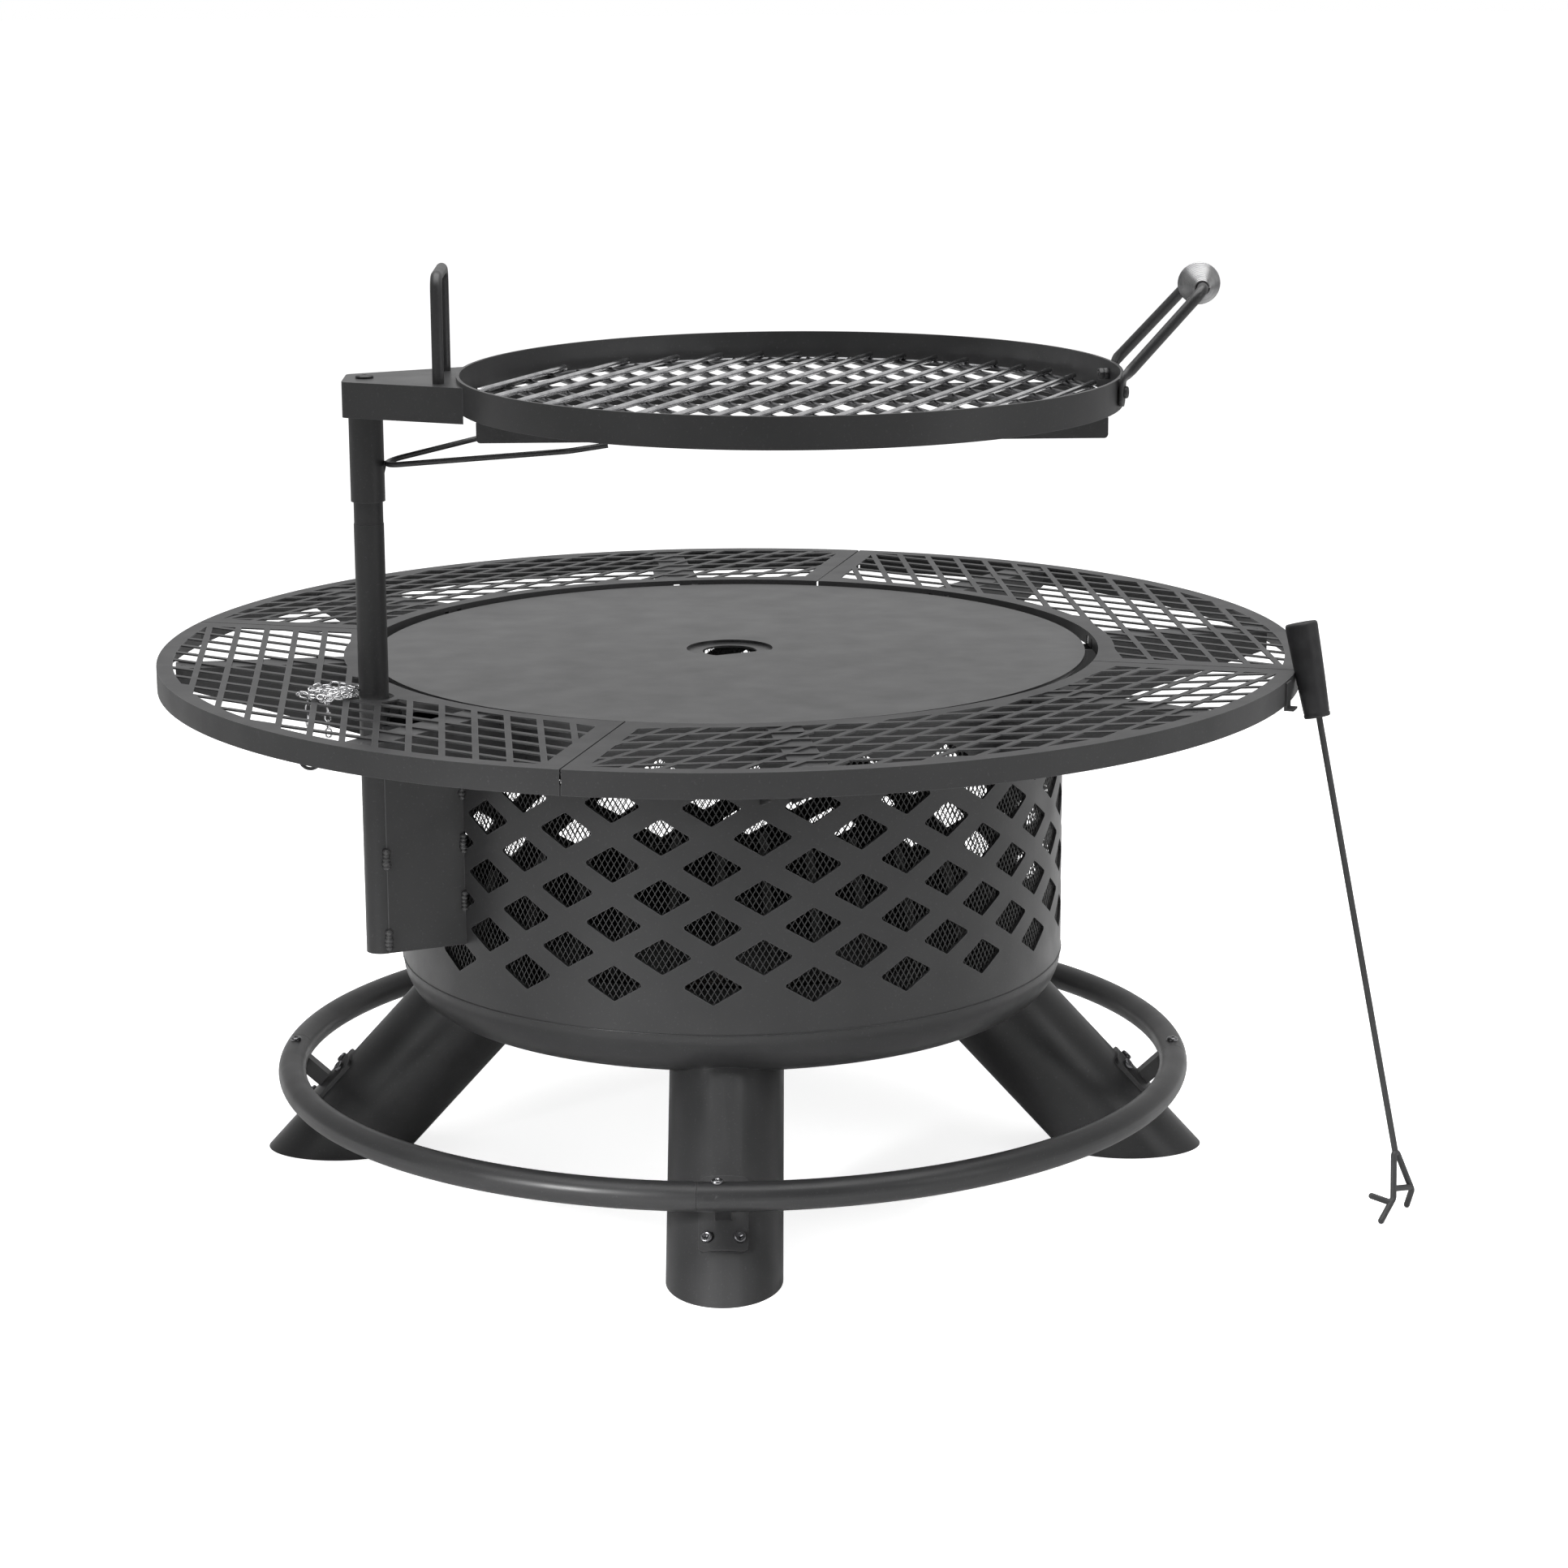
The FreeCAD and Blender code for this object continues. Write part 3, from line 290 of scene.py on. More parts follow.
def fastener(points, normals):
    """(seat under the head, outward axis, head radius, head height, whole length) of a bolt or nut."""
    area = {}
    for normal in normals:
        size = np.linalg.norm(normal)
        key = tuple(np.round(normal / max(size, 1e-12), 2))
        area[key] = area.get(key, 0) + size
    axis = np.array(max(area, key=area.get))
    axis = axis / np.linalg.norm(axis)
    along = points @ axis
    top = points[along > along.max() - 0.0002]
    centre = (top.min(0) + top.max(0)) / 2
    out = points - centre
    radius = np.linalg.norm(out - np.outer(out @ axis, axis), axis=1)
    head = along[radius > radius.max() * 0.9]
    if head.mean() < (along.min() + along.max()) / 2:
        axis, along, head = -axis, -along, -head
    seat = centre + axis * (head.min() - centre @ axis)
    return Vector(seat), Vector(axis), radius.max(), head.max() - head.min(), along.max() - along.min()


def turn_about(seat, axis):
    """The matrix that stands something made along +Z at the seat, pointing along the axis."""
    return Matrix.Translation(seat) @ UP.rotation_difference(axis).to_matrix().to_4x4()


# Materials


class Surface:
    """A procedural finish: colour, roughness and bump worked out from the object's own coordinates."""

    def __init__(self, name, metallic=0.0, specular=0.5):
        self.material = bpy.data.materials.new(name)
        self.material.use_nodes = True
        self.tree = self.material.node_tree
        self.shader = self.tree.nodes["Principled BSDF"]
        self.shader.inputs["Metallic"].default_value = metallic
        self.shader.inputs["Specular IOR Level"].default_value = specular
        self.coordinates = self.node("ShaderNodeTexCoord").outputs["Object"]

    def node(self, kind, **settings):
        made = self.tree.nodes.new(kind)
        for key, value in settings.items():
            setattr(made, key, value)
        return made

    def link(self, source, target):
        self.tree.links.new(source, target)

    def noise(self, scale, detail=3.0):
        """Noise of about the given number of cells a metre."""
        noise = self.node("ShaderNodeTexNoise")
        noise.inputs["Scale"].default_value = scale
        noise.inputs["Detail"].default_value = detail
        self.link(self.coordinates, noise.inputs["Vector"])
        return noise.outputs["Fac"]

    def spread(self, source, low, high, start=0.3, end=0.7):
        """A value that runs from low to high as the source goes from start to end."""
        ranged = self.node("ShaderNodeMapRange")
        for key, value in (("From Min", start), ("From Max", end), ("To Min", low), ("To Max", high)):
            ranged.inputs[key].default_value = value
        self.link(source, ranged.inputs["Value"])
        return ranged.outputs["Result"]

    def blend(self, factor, first, second):
        """A colour from first to second. Each is a colour or a socket."""
        mix = self.node("ShaderNodeMix", data_type="RGBA")
        self.link(factor, mix.inputs["Factor"])
        for socket, value in ((mix.inputs[6], first), (mix.inputs[7], second)):
            if isinstance(value, tuple):
                socket.default_value = (*value, 1)
            else:
                self.link(value, socket)
        return mix.outputs[2]

    def edge(self, radius, low=0.02, high=0.2):
        """0 on open faces, rising to 1 along sharp edges."""
        bevel = self.node("ShaderNodeBevel", samples=4)
        bevel.inputs["Radius"].default_value = radius
        geometry = self.node("ShaderNodeNewGeometry")
        across = self.node("ShaderNodeVectorMath", operation="DOT_PRODUCT")
        self.link(bevel.outputs["Normal"], across.inputs[0])
        self.link(geometry.outputs["Normal"], across.inputs[1])
        return self.spread(across.outputs["Value"], 1, 0, 1 - high, 1 - low)

    def bump(self, height, distance, strength=1.0):
        bump = self.node("ShaderNodeBump")
        bump.inputs["Distance"].default_value = distance
        bump.inputs["Strength"].default_value = strength
        self.link(height, bump.inputs["Height"])
        self.link(bump.outputs["Normal"], self.shader.inputs["Normal"])

    def finish(self, colour, roughness):
        self.link(colour, self.shader.inputs["Base Color"])
        self.link(roughness, self.shader.inputs["Roughness"])
        return self.material


def powder_coat(name, dark, light, roughness, specks_and_edge_highlight, edge_radius=0.9 * MM):
    """Satin powder coat: a fine orange peel, soft mottling, light specks and a painted highlight along sharp
    edges.
    """
    s = Surface(name)
    mottled = s.blend(s.spread(s.noise(9.0), 0, 1), dark, light)
    specks = s.spread(s.noise(420.0, 2.0), 0, 0.35, 0.62, 0.8)
    coloured = s.blend(specks, mottled, specks_and_edge_highlight)
    # Painted highlight: the speck colour is laid along sharp edges, where the edges would catch the light.
    coloured = s.blend(s.edge(edge_radius), coloured, specks_and_edge_highlight)
    s.bump(s.noise(900.0, 2.0), 0.12 * MM, 0.35)
    low, high = roughness
    return s.finish(coloured, s.spread(s.noise(22.0), low, high))


def raw_steel(name, dark, light, roughness):
    """Dark mill-scaled steel with rusty and sooty patches."""
    s = Surface(name, metallic=0.3)
    mottled = s.blend(s.spread(s.noise(30.0, 6.0), 0, 1), dark, light)
    patches = s.spread(s.noise(14.0, 5.0), 0, 0.6, 0.55, 0.72)
    coloured = s.blend(patches, mottled, (0.07, 0.05, 0.04))
    s.bump(s.noise(500.0, 4.0), 0.3 * MM, 0.5)
    return s.finish(coloured, s.spread(s.noise(60.0), *roughness))


def bright_metal(name, dark, light, roughness):
    """Plated or drawn bright steel with fine scratches and duller stains."""
    s = Surface(name, metallic=1.0)
    stains = s.spread(s.noise(45.0, 4.0), 0, 1, 0.35, 0.75)
    coloured = s.blend(stains, light, dark)
    s.bump(s.noise(260.0, 3.0), 0.05 * MM, 0.4)
    low, high = roughness
    return s.finish(coloured, s.spread(s.noise(90.0, 4.0), low, high))


def moulded_grip(name):
    """Black moulded rubbery grip with a fine leathery texture."""
    s = Surface(name, specular=0.45)
    mottled = s.blend(s.spread(s.noise(60.0, 4.0), 0, 1), (0.018, 0.018, 0.019), (0.032, 0.032, 0.034))
    coloured = s.blend(s.edge(1.0 * MM), mottled, (0.06, 0.06, 0.062))
    s.bump(s.noise(1400.0, 3.0), 0.2 * MM, 0.45)
    return s.finish(coloured, s.spread(s.noise(80.0), 0.42, 0.58))


def floor_material():
    """A pale matt floor, lit up where the camera sees it so that it runs into the white behind."""
    s = Surface("floor_pale", specular=0.0)
    shade = s.blend(s.spread(s.noise(0.7), 0, 1), (0.86, 0.86, 0.86), (0.88, 0.88, 0.88))
    seen = s.node("ShaderNodeLightPath").outputs["Is Camera Ray"]
    s.shader.inputs["Emission Color"].default_value = (1, 1, 1, 1)
    s.link(s.spread(seen, 0, FLOOR_GLOW, 0, 1), s.shader.inputs["Emission Strength"])
    return s.finish(shade, s.spread(s.noise(2.0), 0.95, 1.0))


# The last colour of each coat serves its light specks and the painted highlight along its sharp edges.
BLACK = powder_coat(
    "black_coat", (0.030, 0.030, 0.031), (0.038, 0.038, 0.039), (0.32, 0.42), (0.11, 0.11, 0.112)
)
TABLE = powder_coat(
    "table_coat", (0.036, 0.036, 0.037), (0.045, 0.045, 0.046), (0.40, 0.50), (0.13, 0.13, 0.132)
)
LID = powder_coat("lid_coat", (0.028, 0.028, 0.029), (0.037, 0.037, 0.038), (0.28, 0.34), (0.10, 0.10, 0.102))
MESH = powder_coat(
    "mesh_coat",
    (0.020, 0.020, 0.020),
    (0.034, 0.034, 0.034),
    (0.35, 0.5),
    (0.06, 0.06, 0.06),
    edge_radius=0.3 * MM,
)
POKER = powder_coat(
    "poker_coat", (0.050, 0.050, 0.051), (0.065, 0.065, 0.066), (0.45, 0.6), (0.12, 0.12, 0.12)
)
WELD = powder_coat("weld_coat", (0.06, 0.06, 0.061), (0.10, 0.10, 0.101), (0.3, 0.42), (0.22, 0.22, 0.22))
BOLT = bright_metal("bolt_steel", (0.10, 0.10, 0.105), (0.26, 0.26, 0.27), (0.28, 0.42))
SCREW = bright_metal("screw_steel", (0.16, 0.16, 0.165), (0.34, 0.34, 0.35), (0.24, 0.36))
CHROME = bright_metal("bright_wire", (0.42, 0.42, 0.43), (0.80, 0.80, 0.81), (0.14, 0.26))
# A darker copy of the bright wire: painted shade on the lower wires, which lie under the upper ones; the hoop
# takes it too.
PAINTED_SHADE_WIRE = bright_metal("painted_shade_wire", (0.06, 0.06, 0.062), (0.20, 0.20, 0.205), (0.26, 0.4))
COIL = bright_metal("coil_steel", (0.24, 0.24, 0.25), (0.40, 0.40, 0.40), (0.30, 0.40))
CHAIN = bright_metal("chain_plating", (0.48, 0.48, 0.49), (0.82, 0.82, 0.83), (0.12, 0.24))
LOG = raw_steel("log_grate_steel", (0.028, 0.027, 0.026), (0.05, 0.047, 0.044), (0.5, 0.75))
GRIP = moulded_grip("moulded_grip")

SLOT_FINISHES = {
    "black_coat": BLACK,
    "table_coat": TABLE,
    "lid_coat": LID,
    "mesh_steel": MESH,
    "bolt_steel": BOLT,
    "weld_metal": WELD,
    "chain_steel": CHAIN,
    "key_ring_black": BLACK,
    "log_grate_steel": LOG,
    "bright_wire": CHROME,
    "coil_steel": COIL,
    "poker_coat": POKER,
    "grip_plastic": GRIP,
}


def finish_nodes():
    """Gives every carried-over CAD node the finish of its slot."""
    for part in frame["record"]["subparts"]:
        materials = frame["nodes"][part["node"]].data.materials
        materials.clear()
        materials.append(SLOT_FINISHES[part["material_slot"]])


# Pieces


def spark_mesh():
    """Expanded metal rolled into a cylinder: staggered upright diamonds of twisted strands."""
    low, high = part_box("spark_mesh")
    radius = (high.x - low.x) / 2 - STRAND_T / 2
    columns = 2 * round(2 * math.pi * radius / CELL_W)
    columns -= columns % (2 * MESH_PIECES)
    bottom, top = MESH_Z
    rows = round((top - bottom) / (CELL_H / 2))
    step = 2 * math.pi / columns
    rise = (top - bottom) / rows
    share = columns // MESH_PIECES
    for piece in range(MESH_PIECES):
        points = []
        for j in range(rows):
            for i in range(piece * share, (piece + 1) * share):
                if (i + j) % 2:
                    continue
                for turn in (-1, 1):
                    points += strand(i * step, (i + turn) * step, bottom + j * rise, rise, radius)
        faces = []
        sides = ((0, 1, 5, 4), (1, 2, 6, 5), (2, 3, 7, 6), (3, 0, 4, 7))
        for first in range(0, len(points), 8):
            faces += [tuple(first + k for k in quad) for quad in sides]
        name = "expanded_mesh_%d" % (piece + 1)
        part = add_piece(name, new_mesh(name, points, faces, smooth=False), "pit", MESH)
        if piece == 0:
            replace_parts(part, "spark_mesh")


def strand(from_az, to_az, z, rise, radius):
    """The eight corners of one strand between two knots of the mesh."""
    start = Vector((math.cos(from_az), math.sin(from_az), 0)) * radius + UP * z
    end = Vector((math.cos(to_az), math.sin(to_az), 0)) * radius + UP * (z + rise)
    middle = (from_az + to_az) / 2
    out = Vector((math.cos(middle), math.sin(middle), 0))
    across = (end - start).cross(out).normalized()
    twist = (out + across * 0.45).normalized() * (STRAND_T / 2)
    across = across * (STRAND_W / 2)
    corners = (twist + across, twist - across, -twist - across, across - twist)
    return [start + c for c in corners] + [end + c for c in corners]


def hex_ring(radius, count, z):
    """Points on a hexagon of that width across its corners, spaced by angle."""
    ring = []
    for k in range(count):
        angle = 2 * math.pi * k / count
        inside = (angle + math.pi / 6) % (math.pi / 3) - math.pi / 6
        r = radius * math.cos(math.pi / 6) / math.cos(inside)
        ring.append(Vector((r * math.cos(angle), r * math.sin(angle), z)))
    return ring


def round_ring(radius, count, z):
    return circle(Vector((0, 0, z)), Vector((1, 0, 0)), Vector((0, 1, 0)), radius, count)


def socket_head(builder, place, radius, height, shank, dome=0.55):
    """A button head with a hexagon socket, and its shank below the seat."""
    count = 24
    rings = [round_ring(SHANK_R, count, -shank), round_ring(SHANK_R, count, 0)]
    rings.append(round_ring(radius * 0.97, count, 0))
    rings.append(round_ring(radius, count, height * 0.08))
    for i in range(5):
        t = i / 4 * math.pi / 2
        r = radius * (1 - (1 - dome) * (1 - math.cos(t)))
        rings.append(round_ring(r, count, height * (0.4 + 0.6 * math.sin(t))))
    rings.append(hex_ring(SOCKET_R * 1.08, count, height))
    rings.append(hex_ring(SOCKET_R, count, height - SOCKET_BREAK))
    rings.append(hex_ring(SOCKET_R, count, height - SOCKET_DEPTH))
    builder.loft([[place @ p for p in ring] for ring in rings])


def hex_nut(builder, place, radius, height, bore):
    """A hexagon nut with chamfered corners, closed round its bolt."""
    count = 24
    rings = [
        round_ring(bore, count, 0),
        round_ring(radius * NUT_FACE, count, 0),
        hex_ring(radius, count, height * 0.14),
        hex_ring(radius, count, height * 0.86),
        round_ring(radius * NUT_FACE, count, height),
        round_ring(bore, count, height),
    ]
    builder.loft([[place @ p for p in ring] for ring in rings], closed=True, cap=False)


def fasteners(node, body, material, dome=0.55):
    """Finished heads in place of a group of plain CAD bolts, and nuts where the solid has no shank."""
    builder = Builder()
    for points, normals in islands(node):
        seat, axis, radius, height, whole = fastener(points, normals)
        if whole - height > SHANK_MIN:
            socket_head(builder, turn_about(seat, axis), radius, height, whole - height, dome)
        else:
            hex_nut(builder, turn_about(seat, axis), radius, height, SHANK_R)
    piece = add_piece(node + "_heads", builder.mesh(node + "_heads"), body, material)
    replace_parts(piece, node)


def weld_beads():
    """Lumpy stacked-coin beads in place of the plain ones."""
    dice = random.Random(3)
    bm = bmesh.new()
    for points, normals in islands("post_welds"):
        low, high = points.min(0), points.max(0)
        centre = (low + high) / 2
        radius = min(high[0] - low[0], high[1] - low[1]) * 0.5 + WELD_STANDS_OUT
        for i in range(WELD_COINS):
            z = low[2] + WELD_END + (high[2] - low[2] - 2 * WELD_END) * i / (WELD_COINS - 1)
            shift = Vector((dice.uniform(-1, 1), dice.uniform(-1, 1), 0)) * WELD_WANDER
            spot = Matrix.Translation(Vector((centre[0], centre[1], z)) + shift)
            shape = Matrix.Diagonal((1, 1, dice.uniform(0.6, 0.8), 1))
            bmesh.ops.create_icosphere(
                bm, subdivisions=3, radius=radius * dice.uniform(0.9, 1.12), matrix=spot @ shape
            )
    mesh = bpy.data.meshes.new("weld_beads")
    bm.to_mesh(mesh)
    bm.free()
    mesh.polygons.foreach_set("use_smooth", [True] * len(mesh.polygons))
    piece = add_piece("weld_beads", mesh, "pit", WELD)
    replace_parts(piece, "post_welds")


def seam_ring():
    """The fine bead where the bowl's wall meets its dished bottom."""
    low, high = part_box("bowl_bottom")
    radius = (high.x - low.x) / 2
    builder = Builder()
    count = 360
    path = []
    for i in range(count):
        angle = 2 * math.pi * i / count
        reach = radius - SEAM_BEAD_SINK + SEAM_RIPPLE * math.sin(angle * SEAM_RIPPLES)
        path.append(Vector((math.cos(angle), math.sin(angle), 0)) * reach + UP * high.z)
    builder.loft(tube_rings(path, SEAM_BEAD_R, 8, closed=True), closed=True)
    add_piece("bowl_seam_bead", builder.mesh("bowl_seam_bead"), "pit", BLACK)


def handle_frame():
    """(middle of the handle's cross bar, its direction, the two (tab middle, outward axis) along it)."""
    low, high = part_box("coil_grip")
    tabs = []
    for points, normals in islands("swing_handle_bolts"):
        seat, axis, radius, height, whole = fastener(points, normals)
        if whole - height > SHANK_MIN:
            tabs.append((seat - axis * (TAB_T / 2), axis))
    tabs.sort(key=lambda tab: tab[0].y)
    bar = UP.cross(tabs[0][1] + tabs[1][1]).normalized()
    return (low + high) / 2, bar, tabs


def coil_grip():
    """One bright wire wound in touching turns into a double cone on the handle's cross bar."""
    low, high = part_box("coil_grip")
    centre, bar, tabs = handle_frame()
    side = bar.cross(UP)
    half = COIL_HALF - COIL_WIRE_R
    middle_r = (high.z - low.z) / 2 - COIL_WIRE_R
    end_r = COIL_END_R - COIL_WIRE_R
    turns = round(half / COIL_WIRE_R)
    per_turn = 40
    path = []
    for i in range(turns * per_turn + 1):
        y = half * (2 * i / (turns * per_turn) - 1)
        radius = end_r + (middle_r - end_r) * (1 - abs(y) / half) ** 0.96
        angle = 2 * math.pi * i / per_turn
        path.append(centre + bar * y + (side * math.cos(angle) + UP * math.sin(angle)) * radius)
    builder = Builder()
    builder.loft(tube_rings(path, COIL_WIRE_R, 8))
    piece = add_piece("coil_winding", builder.mesh("coil_winding"), "grill", COIL)
    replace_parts(piece, "coil_grip")


def swing_handle():
    """The bail: one rod, bent twice at the grip and hammered flat where it bolts to the ring."""
    centre, bar, tabs = handle_frame()
    corners = []
    for side, (middle, axis) in zip((-1, 1), tabs):
        knee = middle + UP * TAB_RISE + axis * KNEE_OUT
        corners.append([middle - UP * TAB_DROP, knee, centre + bar * (side * BAR_HALF)])
    points = corners[0] + corners[1][::-1]
    path = evenly(rounded_path(points, BAIL_BENDS), BAIL_STEP)
    total = sum((b - a).length for a, b in zip(path, path[1:]))
    rings = []
    travelled = 0.0
    for i, (point, along, side, other) in enumerate(frames_along(path)):
        travelled += (point - path[i - 1]).length if i else 0
        from_end = min(travelled, total - travelled)
        out = tabs[0 if travelled < total / 2 else 1][1]
        out = (out - along * out.dot(along)).normalized()
        across = along.cross(out)
        t = min(1, max(0, (from_end - FLAT_END + FLAT_BLEND / 4) / FLAT_BLEND))
        t = t * t * (3 - 2 * t)
        width = TAB_W / 2 + (ROD_R - TAB_W / 2) * t
        thick = TAB_T / 2 + (ROD_R - TAB_T / 2) * t
        nose = math.sqrt(max(0.06, 1 - max(0, 1 - from_end / NOSE_L) ** 2))
        rings.append(flattened(point, out, across, thick, width * nose, 4 - 2 * t))
    builder = Builder()
    builder.loft(rings)
    piece = add_piece("handle_bail", builder.mesh("handle_bail"), "grill", BLACK)
    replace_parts(piece, "swing_handle")


def flattened(centre, out, across, thick, width, power):
    """A section that runs from a circle, at power 2, to a flat bar with rounded corners."""
    ring = []
    count = 28
    for k in range(count):
        angle = 2 * math.pi * k / count
        c, s = math.cos(angle), math.sin(angle)
        x = math.copysign(abs(c) ** (2 / power), c) * thick
        y = math.copysign(abs(s) ** (2 / power), s) * width
        ring.append(centre + out * x + across * y)
    return ring


def grate_wires():
    """Straight drawn wires with rounded ends in place of the plain ones."""
    # The lower wires and the hoop take the darker copy of the bright wire, as painted shade.
    for node, material in (("grate_wires_low", PAINTED_SHADE_WIRE), ("grate_wires_high", CHROME)):
        builder = Builder()
        for points, normals in islands(node):
            start, end = rod_ends(points)
            radius = (points[:, 2].max() - points[:, 2].min()) / 2
            steps = 6
            path = [start.lerp(end, k / steps) for k in range(steps + 1)]
            builder.loft(tube_rings(path, radius, 14))
        name = node.replace("grate_wires", "drawn_wires")
        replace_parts(add_piece(name, builder.mesh(name), "wire_grate", material), node)
    frame["nodes"]["grate_hoop"].data.materials[0] = PAINTED_SHADE_WIRE


def link_mesh(builder, place, length, width, wire_r, steps=6, sides=8):
    """One stadium-shaped link in the XZ plane of the place given."""
    half = width / 2 - wire_r
    straight = length / 2 - width / 2
    path = []
    for end in (1, -1):
        for k in range(steps + 1):
            angle = math.pi * k / steps
            path.append(Vector((half * math.cos(angle) * end, 0, (straight + half * math.sin(angle)) * end)))
    builder.loft(tube_rings([place @ p for p in path], wire_r, sides, closed=True), closed=True)


def chain():
    """The slack chain: a tangled pile on the table, two strands through the lattice, and the clip below."""
    clip_low, clip_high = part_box("chain_clip")
    table_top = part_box("table_panel_3")[1].z
    hang = (clip_low + clip_high) / 2
    dice = random.Random(11)
    builder = Builder()
    centre = Vector((hang.x, hang.y, table_top + LINK_WIRE_R)) + PILE_OFFSET
    pitch = LINK_L - 2 * LINK_WIRE_R - LINK_SLACK
    path = pile_path(centre, pitch)
    place_links(builder, path, dice)
    to_clip = table_top + STRAND_RISE - clip_high.z + LINK_WIRE_R
    for offset, length, roll in ((0.0, to_clip, 0.4), (LOOSE_STRAND_X, LOOSE_STRAND_L, 1.3)):
        top = Vector((hang.x + offset, hang.y, table_top + STRAND_RISE))
        count = round(length / pitch)
        strand_path = [top - UP * (length * k / count) for k in range(count + 1)]
        place_links(builder, strand_path, dice, roll)
    piece = add_piece("slack_chain", builder.mesh("slack_chain"), "pit", CHAIN)
    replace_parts(piece, "chain")


def pile_path(centre, pitch):
    """Points a link's pitch apart along loops that swell, shrink and wander as they climb on each other."""
    fine = []
    for k in range(PILE_STEPS + 1):
        t = k / PILE_STEPS
        angle = 2 * math.pi * PILE_TURNS * t
        reach_x = PILE_REACH[0] + 7.0 * MM * math.sin(5.3 * t * math.pi + 0.6)
        reach_y = PILE_REACH[1] + 6.0 * MM * math.cos(7.1 * t * math.pi)
        wander = Vector((8.0 * math.sin(9.0 * t), 6.0 * math.cos(6.0 * t + 1), 0)) * MM
        lift = PILE_H * (t**0.8) * (0.75 + 0.25 * math.sin(angle * 1.7))
        fine.append(centre + wander + Vector((reach_x * math.cos(angle), reach_y * math.sin(angle), lift)))
    path = [fine[0]]
    for point in fine:
        if (point - path[-1]).length >= pitch:
            path.append(point)
    return path[: PILE_LINKS + 1]


def place_links(builder, path, dice, roll=LINK_ROLL):
    """One link over each step of the path, each turned a quarter from the one before, give or take."""
    for i, (a, b) in enumerate(zip(path, path[1:])):
        along = (b - a).normalized()
        turn = roll + (math.pi / 2 if i % 2 else 0) + dice.uniform(-LINK_WOBBLE, LINK_WOBBLE)
        place = turn_about((a + b) / 2, along) @ Matrix.Rotation(turn, 4, "Z")
        link_mesh(builder, place, LINK_L, LINK_W, LINK_WIRE_R)


def chain_clip():
    """A bright spring hook: a pear-shaped loop with its gate."""
    low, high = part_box("chain_clip")
    middle = (low + high) / 2
    wire_r = (high.x - low.x) / 2
    half = (high.y - low.y) / 2 - wire_r
    builder = Builder()
    count = 40
    path = []
    for k in range(count):
        angle = 2 * math.pi * k / count
        squeeze = 1 - 0.28 * (0.5 + 0.5 * math.sin(angle)) ** 2
        tall = (high.z - low.z) / 2 - wire_r
        path.append(middle + Vector((0, half * squeeze * math.cos(angle), tall * math.sin(angle))))
    builder.loft(tube_rings(path, wire_r, 10, closed=True), closed=True)
    gate = [middle + Vector((0, -half * 0.95, z * (high.z - low.z))) for z in (-0.2, -0.07, 0.07, 0.2)]
    builder.loft(tube_rings(gate, wire_r * 1.25, 12))
    piece = add_piece("spring_hook", builder.mesh("spring_hook"), "pit", CHAIN)
    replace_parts(piece, "chain_clip")


def poker_grip():
    """The moulded grip: a tapered sleeve with a rolled top edge, a shallow dished cap and a collar below."""
    points = islands("poker_grip")[0][0]
    joint = next(j for j in frame["joints"] if j["name"] == "poker_lift")
    axis = Vector(joint["axis"]).normalized()
    middle = Vector((points.min(0) + points.max(0)) / 2)
    level = [(Vector(p) - middle).dot(axis) for p in points]
    start = middle + axis * min(level)
    length = max(level) - min(level)
    away = [(Vector(p) - start).cross(axis).length for p in points]
    low_r = max(r for r, s in zip(away, level) if s < min(level) + length * 0.05)
    high_r = max(r for r, s in zip(away, level) if s > max(level) - length * 0.05)
    # (radius, height) from the collar up to the dished cap
    profile = [(low_r * 0.5, 0), (low_r * 0.93, 0), (low_r, 1.0 * MM), (low_r * 1.01, 3.5 * MM)]
    profile += [(low_r * 0.965, 4.5 * MM)]
    steps = 14
    for k in range(steps + 1):
        t = k / steps
        radius = low_r + (high_r - low_r) * t + 0.3 * MM * math.sin(math.pi * t)
        profile.append((radius * 0.995, 6.0 * MM + (length - 9.5 * MM) * t))
    profile += [(high_r * 0.97, length - 1.2 * MM), (high_r * 0.90, length)]
    profile += [(high_r * 0.78, length - 0.4 * MM), (high_r * 0.70, length - 1.4 * MM)]
    profile += [(high_r * 0.05, length - 1.4 * MM)]
    place = turn_about(start, axis)
    builder = Builder()
    builder.loft([[place @ p for p in round_ring(r, 48, z)] for r, z in profile])
    piece = add_piece("moulded_sleeve", builder.mesh("moulded_sleeve"), "poker", GRIP)
    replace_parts(piece, "poker_grip")


# Stage


def camera():
    ahead = Vector((math.sin(CAMERA_YAW), math.cos(CAMERA_YAW), 0)) * math.cos(CAMERA_PITCH)
    ahead -= UP * math.sin(CAMERA_PITCH)
    right = Vector((math.cos(CAMERA_YAW), -math.sin(CAMERA_YAW), 0))
    above = right.cross(ahead)
    rolled = right * math.cos(CAMERA_ROLL) + above * math.sin(CAMERA_ROLL)
    above = above * math.cos(CAMERA_ROLL) - right * math.sin(CAMERA_ROLL)
    data = bpy.data.cameras.new("camera")
    data.lens = CAMERA_LENS
    data.sensor_width = 36.0
    made = bpy.data.objects.new("camera", data)
    bpy.context.scene.collection.objects.link(made)
    turn = Matrix((rolled, above, -ahead)).transposed().to_4x4()
    made.matrix_world = Matrix.Translation(CAMERA_AT) @ turn
    bpy.context.scene.camera = made


def soft_light(name, place, aim, size, power, spread=180):
    data = bpy.data.lights.new(name, "AREA")
    data.spread = math.radians(spread)
    data.shape = "RECTANGLE"
    data.size, data.size_y = size
    data.energy = power
    made = bpy.data.objects.new(name, data)
    bpy.context.scene.collection.objects.link(made)
    facing = (aim - place).to_track_quat("-Z", "Y").to_matrix().to_4x4()
    made.matrix_world = Matrix.Translation(place) @ facing


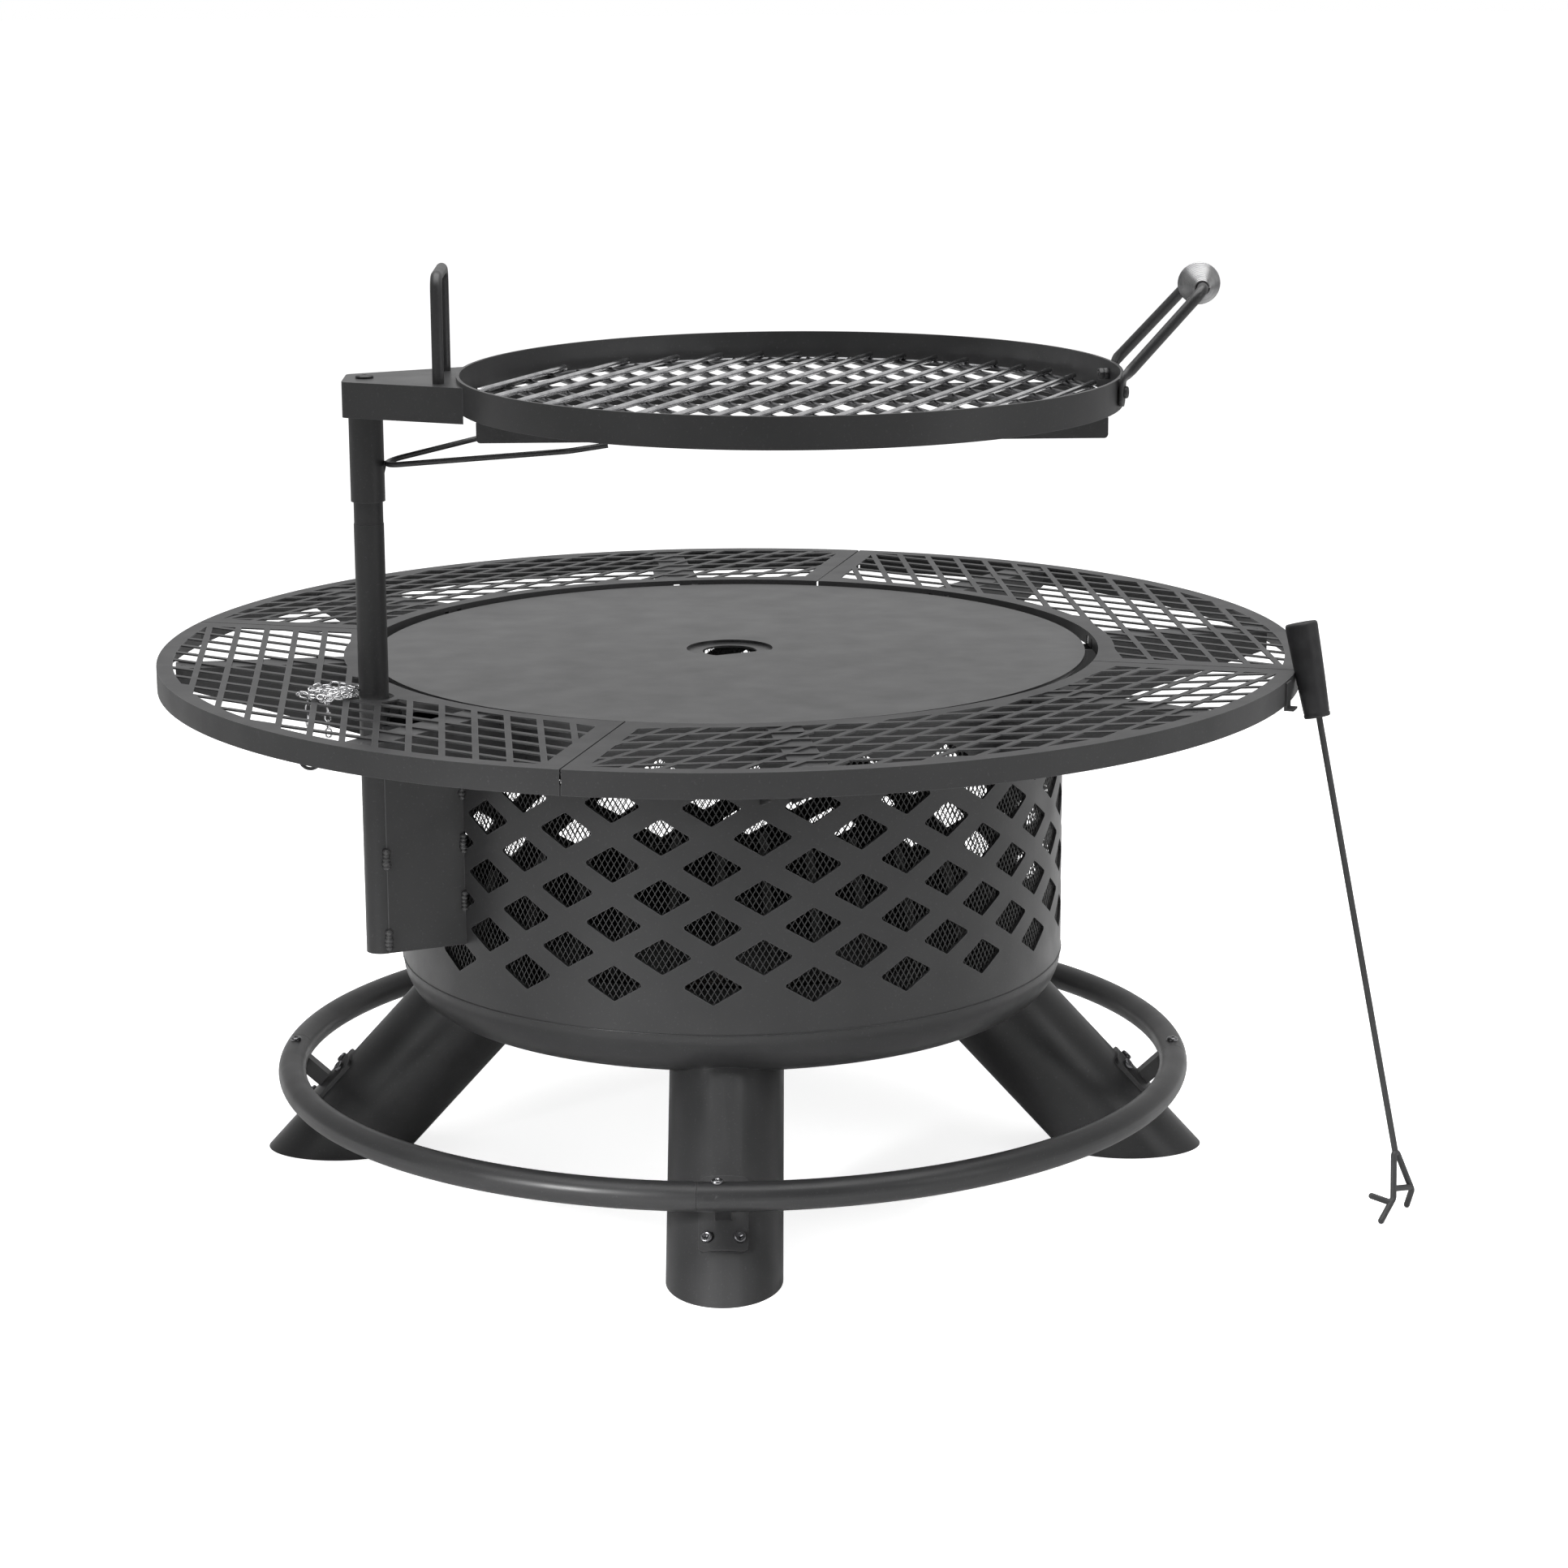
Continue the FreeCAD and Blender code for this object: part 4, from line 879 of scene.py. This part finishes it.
def stage():
    """The floor, the world and the lamps. None of them is part of the fire pit."""
    r = FLOOR_HALF
    corners = [(-r, -r, 0), (r, -r, 0), (r, r, 0), (-r, r, 0)]
    floor = bpy.data.objects.new("floor", new_mesh("floor", corners, [(0, 1, 2, 3)], smooth=False))
    bpy.context.scene.collection.objects.link(floor)
    floor.data.materials.append(floor_material())
    bpy.context.scene.world = studio_world()
    bpy.context.scene.view_settings.view_transform = "Standard"
    middle = Vector((0, 0, 0.4))
    soft_light("top_softbox", Vector((0.0, -0.2, 3.6)), middle, (4.2, 3.4), 162)
    soft_light("left_softbox", Vector((-3.4, -3.0, 2.0)), middle, (2.0, 2.4), 8)
    soft_light("right_softbox", Vector((3.6, -2.6, 1.8)), middle, (1.6, 2.4), 20)
    soft_light("leg_light", Vector((-1.6, -2.0, 0.9)), Vector((0, -0.5, -0.16)), (0.2, 0.6), 1.9, spread=32)


def studio_world():
    """White where the camera sees it. As a light it is bright behind the fire pit and dim in front."""
    world = bpy.data.worlds.new("studio")
    world.use_nodes = True
    tree = world.node_tree
    sky = tree.nodes["Background"]
    sky.inputs["Color"].default_value = (1, 1, 1, 1)
    direction = tree.nodes.new("ShaderNodeTexCoord").outputs["Generated"]
    towards = tree.nodes.new("ShaderNodeVectorMath")
    towards.operation = "DOT_PRODUCT"
    towards.inputs[1].default_value = WORLD_BRIGHT_WAY
    tree.links.new(direction, towards.inputs[0])
    light = tree.nodes.new("ShaderNodeMapRange")
    light.inputs["From Min"].default_value = -0.6
    light.inputs["From Max"].default_value = 0.9
    light.inputs["To Min"].default_value = WORLD_FRONT
    light.inputs["To Max"].default_value = WORLD_BACK
    tree.links.new(towards.outputs["Value"], light.inputs["Value"])
    seen = tree.nodes.new("ShaderNodeLightPath")
    level = tree.nodes.new("ShaderNodeMix")
    level.inputs["B"].default_value = 1.0
    tree.links.new(seen.outputs["Is Camera Ray"], level.inputs["Factor"])
    tree.links.new(light.outputs["Result"], level.inputs["A"])
    tree.links.new(level.outputs["Result"], sky.inputs["Strength"])
    return world


def main():
    camera()
    stage()
    finish_nodes()
    spark_mesh()
    seam_ring()
    fasteners("saddle_bolts", "pit", BOLT, dome=0.82)
    fasteners("foot_ring_screws", "pit", SCREW, dome=0.45)
    fasteners("table_bolts", "pit", BLACK)
    fasteners("cap_bolt", "grill_post", BLACK, dome=0.4)
    weld_beads()
    swing_handle()
    fasteners("swing_handle_bolts", "grill", BLACK, dome=0.7)
    coil_grip()
    grate_wires()
    poker_grip()
    chain()
    chain_clip()


main()
